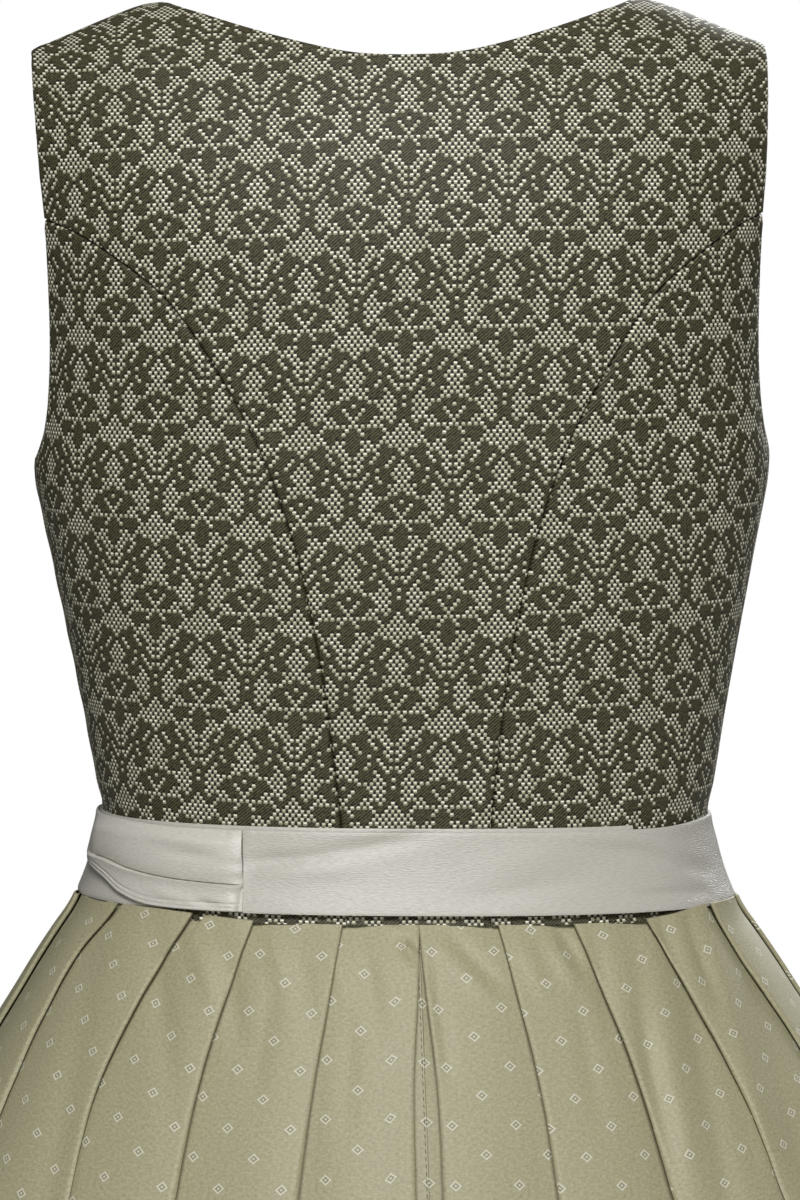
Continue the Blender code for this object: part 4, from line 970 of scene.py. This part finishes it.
def bow_loop(side, word):
    """A loop of ribbon: out from the knot and back behind, open above and below."""
    start = KNOT_WIDTH / 2 * (1 + KNOT_PINCH) + SEAM_GAP
    step = np.linspace(0, 11, 67)
    along_it, out, half, drop = columns(LOOP_PATH, step)
    tall = np.linspace(-1, 1, 25)[:, None]
    height = KNOT_LEVEL - drop + tall * half
    flare = np.maximum(BAND_BOTTOM + 2.0 - height, 0) * LOOP_FLARE
    front = smoothstep((6 - step) / 2)
    ripple = np.sin(LOOP_GATHERS * math.pi * (tall + 1) / 2 + 0.5)
    gather = front * LOOP_GATHER * np.exp(-along_it / GATHER_FADE) * ripple
    u = knot_distance() + side * (start + along_it) + 0 * height
    points = on_fronts(height, u, np.maximum(out + flare + gather, LOOP_CLEAR + flare))
    outer, inner = thick(points, RIBBON_WALL)
    uv = np.stack([run_along(points), height - height[0, 0]], -1)
    cloth(f"loop_{word}_cloth", f"bow_loop_{word}", outer, inner, uv, "satin")


def bow_tail(side, word):
    """A tail of ribbon that hangs from the knot over the apron, with a slanting end."""
    below = np.linspace(TAIL_TOP, TAIL_LENGTH, 88)[:, None]
    across = np.linspace(-1, 1, 25)
    half, rise, apart = columns(TAIL_SHAPES, below)
    share = (below - TAIL_TOP) / TAIL_LENGTH
    height = BAND_BOTTOM - below - TAIL_SLANT * share * share * side * across
    out = rise + TAIL_FOLD * (0.2 + share) * (1 + np.cos(2 * math.pi * across))
    out = out + TAIL_RIPPLE * np.sin(3 * math.pi * across + side) * smoothstep(below / 60)
    u = knot_distance() + side * apart + across * half
    inner = on_fronts(height, u, out)
    outer = on_fronts(height, u, out + SATIN_WALL)
    uv = np.stack([run_along(outer), -run_along(outer, 0)], -1)
    cloth(f"tail_{word}_cloth", f"bow_tail_{word}", outer, inner, uv, "satin")


# --- buttons ---
BUTTON_RADIUS, BUTTON_HEIGHT, BUTTON_STAND = 6.5, 4.2, 0.85
BUTTON_HEIGHTS = (-197, -222, -247, -272, -297, -322, -345)
# From the middle of the dome round to the middle of the back, as shares of the radius and of the height.
BUTTON_PROFILE = (
    (0, 1.0), (0.2, 0.985), (0.38, 0.93), (0.46, 0.87), (0.50, 0.82), (0.56, 0.84), (0.64, 0.80),
    (0.72, 0.70), (0.78, 0.60), (0.82, 0.585), (0.88, 0.63), (0.94, 0.60), (0.985, 0.46), (1.0, 0.30),
    (0.97, 0.12), (0.9, 0.0), (0, 0.0))
BUTTON_SIDES, BUTTON_LOBES, LOBE_RISE = 48, 8, 0.03


def button(number, height):
    """A domed pewter button with a ring round its middle and a rolled rim."""
    spots = [settled(body(CENTRE_FRONT, height + k * BUTTON_RADIUS)) for k in (1, 0, -1)]
    above, seat, below = (Vector(spot) for spot in spots)
    up = (above - below).normalized()
    right = Vector((1, 0, 0))
    out = right.cross(up)
    seat = seat + out * (BUTTON_STAND + max(0.0, ((above + below) / 2 - seat).dot(out)))
    sides, points, faces = BUTTON_SIDES, [], []
    for radius, rise in BUTTON_PROFILE[1:-1]:
        for j in range(sides):
            turn = 2 * math.pi * j / sides
            lobe = 1 + LOBE_RISE * math.cos(BUTTON_LOBES * turn) * (0.6 < radius < 0.8)
            flat = (right * math.cos(turn) + up * math.sin(turn)) * BUTTON_RADIUS * radius
            points.append(seat + flat + out * BUTTON_HEIGHT * rise * lobe)
    rings = len(BUTTON_PROFILE) - 2
    points += [seat + out * BUTTON_HEIGHT, seat]
    for j in range(sides):
        k = (j + 1) % sides
        faces.append((rings * sides, j, k))
        faces += [(a * sides + j, a * sides + sides + j, a * sides + sides + k, a * sides + k)
                  for a in range(rings - 1)]
        faces.append((rings * sides + 1, (rings - 1) * sides + k, (rings - 1) * sides + j))
    name = f"button_{number}"
    mesh = bpy.data.meshes.new(name + "_pewter")
    mesh.from_pydata([p * MM for p in points], [], faces)
    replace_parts(finished(name + "_pewter", mesh, "pewter", 40), name)


# --- stitches ---
def stitches(name, points, outs):
    """A row of sewing stitches as one piece: short rounded threads that lie along a line."""
    profile = ((-0.5, 0.25), (-0.3, 0.9), (0.3, 0.9), (0.5, 0.25))
    sides, verts, faces = 6, [], []
    for start, end, out in zip(points[:-1], points[1:], outs):
        way = unit(end - start)
        side = np.cross(out, way)
        middle = (start + end) / 2
        first = len(verts)
        for along_it, size in profile:
            for j in range(sides):
                turn = 2 * math.pi * j / sides
                flat = side * math.cos(turn) + out * math.sin(turn) * 0.8
                verts.append(middle + way * along_it * STITCH_LENGTH + flat * size * STITCH_THICK / 2)
        for a in range(len(profile) - 1):
            for j in range(sides):
                k = (j + 1) % sides
                corner = first + a * sides
                faces.append((corner + j, corner + k, corner + sides + k, corner + sides + j))
        faces.append(tuple(first + j for j in range(sides))[::-1])
        faces.append(tuple(first + (len(profile) - 1) * sides + j for j in range(sides)))
    mesh = bpy.data.meshes.new(name)
    mesh.from_pydata((np.array(verts) * MM).tolist(), [], faces)
    finished(name, mesh, "thread", 180)


# --- finishes ---
def linear(code):
    """A hex sRGB colour as linear RGBA."""
    parts = [int(code[i:i + 2], 16) / 255 for i in (1, 3, 5)]
    return (*[p / 12.92 if p <= 0.04045 else ((p + 0.055) / 1.055) ** 2.4 for p in parts], 1.0)


class Finish:
    """A material while its nodes are put together."""

    def __init__(self, name):
        self.material = bpy.data.materials.new(name)
        self.material.use_nodes = True
        self.tree = self.material.node_tree
        self.shader = self.tree.nodes["Principled BSDF"]

    def add(self, kind, *inputs, **named):
        """Adds a node. Its inputs are values or other nodes, given in their order or by name.

        A name in small letters is a setting of the node instead.
        """
        made = self.tree.nodes.new("ShaderNode" + kind)
        for name in [name for name in named if name.islower()]:
            setattr(made, name, named.pop(name))
        for i, value in enumerate(inputs):
            self.put(made.inputs[i], value)
        self.set(made, **named)
        return made

    def put(self, socket, value):
        """Sets an input to a value, or links it to a node's first output in use."""
        if isinstance(value, bpy.types.Node):
            value = next(output for output in value.outputs if output.enabled)
        if isinstance(value, bpy.types.NodeSocket):
            self.tree.links.new(value, socket)
        else:
            socket.default_value = value

    def set(self, node=None, **inputs):
        """Sets inputs by name, of the material's own shader where no other node is given."""
        for name, value in inputs.items():
            sockets = (node or self.shader).inputs
            self.put(next(s for s in sockets if s.enabled and s.name == name.replace("_", " ")), value)

    def sum(self, text, **names):
        """A small formula in reverse Polish: numbers, names of values, and Math operations."""
        stack = []
        for word in text.split():
            if word in names:
                stack.append(names[word])
            elif word.isupper():
                take = 1 if word in ("ABSOLUTE", "FLOOR", "FRACT", "ROUND", "SINE") else 2
                stack[-take:] = [self.add("Math", *stack[-take:], operation=word)]
            else:
                stack.append(float(word))
        return stack[0]

    def odd(self, value):
        """1 where a whole number is odd, or else 0."""
        return self.sum("n n 2 DIVIDE FLOOR 2 MULTIPLY SUBTRACT", n=value)

    def threads(self):
        """Where a point lies in the flat cloth: round and up, in millimetres."""
        place = self.add("SeparateXYZ", self.add("UVMap", uv_map="threads"))
        return [self.sum("x 1000 MULTIPLY", x=place.outputs[i]) for i in (0, 1)]

    def streaks(self, u, v, across, up, detail=2.0):
        """Uneven streaks of a size across and up, from 0 to 1, as slubs and strained yarns give."""
        u, v = self.sum("u s DIVIDE", u=u, s=across), self.sum("v s DIVIDE", v=v, s=up)
        noise = self.add("TexNoise", self.add("CombineXYZ", u, v), Scale=1.0, Detail=detail)
        return self.add("MapRange", noise, 0.3, 0.7)


# Half of the woven repeat: 24 wefts from a flower down to the flower of the next column, and 17 warp
# places from this column's middle to that one's. Each o is a pale float on the dark ground.
WEAVE = """
o.....o.o...o...o
.o.o.o.o.o.....o.
..o.......o...o.o
...o.......o.o.o.
..........o.o.o.o
...o.o...o.o.o.o.
....o.o.o...o.o.o
...o.o.o.......o.
..o.o...o.......o
.o.o...o.....o...
..o...o.....o...o
.o.o.......o...o.
..o.....o.....o.o
.o...o.......o.o.
....o...o.....o.o
.o.o.....o.....o.
..o...o.....o.o.o
.....o.......o.o.
o...o.o.....o.o..
...o.o.o.o.o.....
o...o.o.o.......o
...o.o.o.....o...
....o.o.......o..
...o.o.o.o.....o.
""".split()
REPEAT, HALF = len(WEAVE), len(WEAVE[0]) - 1
WARP, WEFT = 1.33, 1.71  # millimetres between warp places and between wefts
# Across and up, from one line of the ground's twill to the next, and the size of a slub in its yarns. The
# real ones are too fine to show, so these are drawn coarser.
TWILL, SLUB = (1.7, 1.45), (1.5, 1.1)
FLOAT_RISE = 0.25  # of the pale floats above the ground


def jacquard():
    """Cotton jacquard: pale weft floats over a dark olive warp twill, in a half-drop of small flowers.

    Each float is pale yarn with light from above painted on it: a painted highlight on its bright upper
    edge, and painted shade on its duller lower body. A dark pit is painted just above the float, painted
    shade where the weft dives under the warps.
    """
    f = Finish("cotton_jacquard_woven")
    u, v = f.threads()
    weft = f.sum("v s DIVIDE", v=v, s=-WEFT)
    warp = f.sum("u s DIVIDE", u=u, s=WARP)
    row = f.sum("weft 0.18 SUBTRACT FLOOR", weft=weft)
    down = f.sum("weft row SUBTRACT 0.5 SUBTRACT s MULTIPLY", weft=weft, row=row, s=WEFT)

    def float_in(row):
        """Whether a pale float is here in a row, how far beside its middle, and its own chance value."""
        odd = f.odd(row)
        place = f.sum("warp odd SUBTRACT 2 DIVIDE ROUND 2 MULTIPLY odd ADD", warp=warp, odd=odd)
        drop = f.sum("row n DIVIDE FLOOR", row=row, n=REPEAT)
        column = f.sum("place drop n MULTIPLY ADD n PINGPONG ROUND", place=place, drop=drop, n=HALF)
        line_at = f.sum("row drop n MULTIPLY SUBTRACT 0.5 ADD n DIVIDE", row=row, drop=drop, n=REPEAT)
        ramp = f.add("ValToRGB", line_at)
        ramp.color_ramp.interpolation = "CONSTANT"
        for i, line in enumerate(WEAVE):
            stop = ramp.color_ramp.elements[0] if i == 0 else ramp.color_ramp.elements.new(i / REPEAT)
            mask = sum(2 ** c for c, mark in enumerate(line) if mark == "o") / 2 ** (HALF + 1)
            stop.color = (mask, mask, mask, 1.0)
        ramp.color_ramp.elements.remove(ramp.color_ramp.elements[-1])
        value = f.add("SeparateColor", ramp)
        bit = f.odd(f.sum("mask all MULTIPLY 2 column POWER DIVIDE 0.000005 ADD FLOOR", mask=value,
                          all=2 ** (HALF + 1), column=column))
        beside = f.sum("warp place SUBTRACT s MULTIPLY ABSOLUTE", warp=warp, place=place, s=WARP)
        return bit, beside, f.add("TexWhiteNoise", f.add("CombineXYZ", place, row))

    def patch(bit, beside, half_long, middle, half_wide):
        """A soft-edged oval on a float: its half length, how far down it is and its half width."""
        x = f.sum("beside half DIVIDE 4 POWER", beside=beside, half=half_long)
        y = f.sum("down middle SUBTRACT half DIVIDE 2 POWER", down=down, middle=middle, half=half_wide)
        oval = f.add("MapRange", f.sum("x y ADD", x=x, y=y), 0.55, 1.35, 1.0, 0.0)
        return f.sum("oval bit MULTIPLY", oval=oval, bit=bit)

    bit, beside, chance = float_in(row)
    next_bit, next_beside, _ = float_in(f.sum("row 1 ADD", row=row))
    # edge marks each float's bright upper edge, a painted highlight, and dull marks its lower body in
    # painted shade.
    edge = patch(bit, beside, f.sum("chance 0.2 MULTIPLY 0.64 ADD", chance=chance), 0.0, 0.42)
    dull = patch(bit, beside, 0.96, 0.60, 0.70)
    # pit marks the hollow just above each float, painted dark as shade.
    pit = patch(next_bit, next_beside, 0.62, 0.62, 0.52)
    twill = f.sum("u across DIVIDE v up DIVIDE ADD 6.283 MULTIPLY SINE 0.5 MULTIPLY 0.5 ADD",
                  u=u, v=v, across=TWILL[0], up=TWILL[1])
    twill = f.sum("twill 0.9 MULTIPLY slub 0.8 MULTIPLY ADD 0.35 SUBTRACT", twill=twill,
                  slub=f.streaks(u, v, *SLUB, 3.0))
    colour = f.add("Mix", twill, A=linear("#0b0901"), B=linear("#5a563d"), data_type="RGBA")
    # Painted shade on each float's lower body.
    colour = f.add("Mix", dull, A=colour, B=linear("#99967f"), data_type="RGBA")
    # Painted shade in the pit above each float.
    colour = f.add("Mix", pit, A=colour, B=linear("#16130a"), data_type="RGBA")
    # The floats' pale yarn, paler or darker at random, laid on their upper edges as a painted highlight.
    light = f.add("Mix", chance, A=linear("#cfccb4"), B=linear("#faf8e6"), data_type="RGBA")
    f.set(Base_Color=f.add("Mix", edge, A=colour, B=light, data_type="RGBA"),
          Roughness=f.sum("0.62 edge 0.17 MULTIPLY SUBTRACT", edge=edge), IOR=1.5, Specular_IOR_Level=0.32)
    height = f.sum("edge dull 0.6 MULTIPLY MAXIMUM twill 0.2 MULTIPLY 0.2 ADD MAXIMUM", edge=edge, dull=dull,
                   twill=twill)
    height = f.sum("height 1 pit SUBTRACT MULTIPLY", height=height, pit=pit)
    f.set(Normal=f.add("Bump", Strength=1.0, Distance=FLOAT_RISE * MM, Height=height))
    return f.material


DIAMOND_HALF, DIAMOND_LINE = 2.25, (0.3, 0.66)  # from its middle to its line, and half that line's width
DIAMOND_RISE = 0.1
# Across and up, the size of uneven places in the sateen's wefts and warps. Single yarns are too fine to
# show, so these are drawn coarser.
WEFT_GRAIN, WARP_GRAIN = (1.9, 1.0), (1.1, 1.5)


def skirt_cotton():
    """Sage cotton sateen with small woven outline diamonds, each with a dot in its middle."""
    f = Finish("cotton_sateen_woven_diamonds")
    u, v = f.threads()
    across = f.sum("u s DIVIDE", u=u, s=DIAMOND_ACROSS)
    column = f.add("Math", across, operation="ROUND")
    down = f.sum("v s DIVIDE odd 0.5 MULTIPLY ADD", v=v, s=DIAMOND_DOWN, odd=f.odd(column))
    x = f.sum("a c SUBTRACT s MULTIPLY ABSOLUTE", a=across, c=column, s=DIAMOND_ACROSS)
    y = f.sum("a a ROUND SUBTRACT s MULTIPLY ABSOLUTE", a=down, s=DIAMOND_DOWN)
    around = f.sum("x y 1.08 MULTIPLY ADD x y MULTIPLY 0.1 MULTIPLY ADD half SUBTRACT", x=x, y=y,
                   half=DIAMOND_HALF)
    line = f.add("MapRange", f.sum("a ABSOLUTE", a=around), *DIAMOND_LINE, 1.0, 0.0)
    inside = f.add("MapRange", around, -0.8, -0.25, 1.0, 0.0)
    dot = f.add("MapRange", f.sum("x x MULTIPLY y y MULTIPLY ADD", x=x, y=y), 0.1, 0.35, 1.0, 0.0)
    motif = f.sum("line dot MAXIMUM", line=line, dot=dot)
    grain, slub = f.streaks(u, v, *WEFT_GRAIN, 3.0), f.streaks(u, v, *WARP_GRAIN, 3.0)
    uneven = f.sum("grain slub ADD 2 DIVIDE", grain=grain, slub=slub)
    colour = f.add("Mix", uneven, A=linear("#908b6c"), B=linear("#b1ac8e"), data_type="RGBA")
    inside = f.sum("inside 0.5 MULTIPLY", inside=inside)
    colour = f.add("Mix", inside, A=colour, B=linear("#7d7961"), data_type="RGBA")
    f.set(Base_Color=f.add("Mix", motif, A=colour, B=linear("#cfcdba"), data_type="RGBA"), Roughness=0.55,
          IOR=1.5, Specular_IOR_Level=0.45)
    height = f.sum("grain 0.5 MULTIPLY motif ADD", grain=grain, motif=motif)
    f.set(Normal=f.add("Bump", Strength=1.0, Distance=DIAMOND_RISE * MM, Height=height))
    return f.material


# Across and up, the size of the satin's level weft lines, drawn coarser than they are so that they show,
# and of its soft waves.
WEFT_LINE, SOFT_WAVE = (2.4, 0.5), (60.0, 30.0)
WEFT_LINE_RISE = 0.12


def satin(name="satin_woven_weft_faced", pale="#c3c0b7", deep="#b3b0a6"):
    """Silver-grey satin: a soft gloss and fine level weft lines. The pulled tie's paler copy is painted
    sheen.
    """
    f = Finish(name)
    u, v = f.threads()
    grain, soft = f.streaks(u, v, *WEFT_LINE, 3.0), f.streaks(u, v, *SOFT_WAVE)
    f.set(Base_Color=f.add("Mix", grain, A=linear(deep), B=linear(pale), data_type="RGBA"), Roughness=0.4,
          IOR=1.5, Specular_IOR_Level=0.65)
    height = f.sum("grain soft 2 MULTIPLY ADD", grain=grain, soft=soft)
    f.set(Normal=f.add("Bump", Strength=1.0, Distance=WEFT_LINE_RISE * MM, Height=height))
    return f.material


def pewter():
    """Cast pewter, dull and a little worn, in darker and paler patches."""
    f = Finish("pewter_cast")
    noise = f.add("TexNoise", f.add("TexCoord").outputs["Object"], Scale=900.0)  # patches of about 1.1 mm
    f.set(Base_Color=f.add("Mix", noise, A=linear("#8f8c84"), B=linear("#a9a69c"), data_type="RGBA"),
          Metallic=1.0, Roughness=f.add("MapRange", noise, 0.3, 0.7, 0.3, 0.5))
    return f.material


def thread():
    """Spun cotton sewing thread of the cloth's olive hue, darker than it: painted shade on the stitches."""
    f = Finish("sewing_thread_cotton_painted_shade")
    # The dark colour is partly the thread's own and partly painted shade.
    f.set(Base_Color=linear("#756d51"), Roughness=0.7, IOR=1.5, Sheen_Weight=0.2)
    return f.material


# The tie's satin is a paler copy of the other: painted sheen.
MATERIALS = {"jacquard": jacquard(), "skirt_cotton": skirt_cotton(), "satin": satin(), "pewter": pewter(),
             "tie_satin_painted_sheen": satin("satin_woven_tie_painted_sheen", "#d0cdc4", "#c0bdb3"), "thread": thread()}


# --- light, floor and camera ---
CAMERA_PLACE, CAMERA_TARGET, CAMERA_ROLL, LENS = (125.9, 2401.7, -121), (4, 48, -260.2), -0.55, 163.6
LAMP_TARGET = (0, 0, -350)
ROOM_LIGHT = 0.065  # of the white walls, on the dress
FLOOR_LEVEL, FLOOR_RADIUS, FLOOR_SIDES = -1060.5, 2500, 64


def aimed(name, data, place, target):
    """A light or the camera at a place, in millimetres, looking at a target."""
    made = placed(name, data)
    made.location = Vector(place) * MM
    made.rotation_euler = (Vector(target) - Vector(place)).to_track_quat("-Z", "Y").to_euler()
    return made


def lamp(name, place, size, watts):
    light = bpy.data.lights.new(name, "AREA")
    light.size, light.energy = size * MM, watts
    aimed(name, light, place, LAMP_TARGET)


def stage():
    """A white room and a pale floor, with a large soft light high above the camera.

    A second one fills in from behind the camera, and a third lights the front of the dress.
    """
    world = bpy.data.worlds.new("white_room")
    bpy.context.scene.world = world
    world.use_nodes = True
    tree = world.node_tree
    background = tree.nodes["Background"]
    background.inputs["Color"].default_value = (1, 1, 1, 1)
    seen = tree.nodes.new("ShaderNodeMapRange")
    seen.inputs["To Min"].default_value = ROOM_LIGHT
    tree.links.new(tree.nodes.new("ShaderNodeLightPath").outputs["Is Camera Ray"], seen.inputs["Value"])
    tree.links.new(seen.outputs["Result"], background.inputs["Strength"])
    bpy.context.scene.view_settings.view_transform = "Standard"
    lamp("key_softbox", (120, 2400, 2050), 1300, 100)
    lamp("fill_softbox", (0, 3000, 200), 1800, 10)
    lamp("front_softbox", (-1300, -2700, 1000), 1500, 84)

    disc = bpy.data.meshes.new("floor")
    turns = [2 * math.pi * i / FLOOR_SIDES for i in range(FLOOR_SIDES)]
    disc.from_pydata([(FLOOR_RADIUS * MM * math.cos(t), FLOOR_RADIUS * MM * math.sin(t), FLOOR_LEVEL * MM)
                      for t in turns], [], [tuple(range(FLOOR_SIDES))])
    paint = Finish("floor_paint_matt")
    paint.set(Base_Color=linear("#e2e1de"), Roughness=0.8, IOR=1.5)
    disc.materials.append(paint.material)
    placed("floor", disc)


def camera():
    """The back of the dress from shoulders to hips, seen a little from the wearer's left."""
    lens = bpy.data.cameras.new("camera")
    lens.sensor_width, lens.lens, lens.clip_end = 36.0, LENS, 20.0
    made = aimed("camera", lens, CAMERA_PLACE, CAMERA_TARGET)
    roll = Matrix.Rotation(math.radians(CAMERA_ROLL), 3, "Z")
    made.rotation_euler = (made.rotation_euler.to_matrix() @ roll).to_euler()
    bpy.context.scene.camera = made


def main():
    back_centre()
    side_panels("back_side_{}_cloth", "bodice_back_side_{}", BACK_SEAM,
                part_of(BACK_ARMHOLE, high=BACK_CORNER), True, -GRAIN_TILT, (0, 0))
    side_panels("front_side_{}_cloth", "bodice_front_side_{}", FRONT_SEAM,
                part_of(FRONT_ARMHOLE, high=FRONT_CORNER), False, 0, (7, 5))
    fronts()
    skirt()
    centre_stitches()
    apron()
    waistband()
    tie()
    knot()
    for side, word in ((1, "left"), (-1, "right")):
        bow_loop(side, word)
        bow_tail(side, word)
    for i, height in enumerate(BUTTON_HEIGHTS):
        button(i + 1, height)
    stage()
    camera()


main()
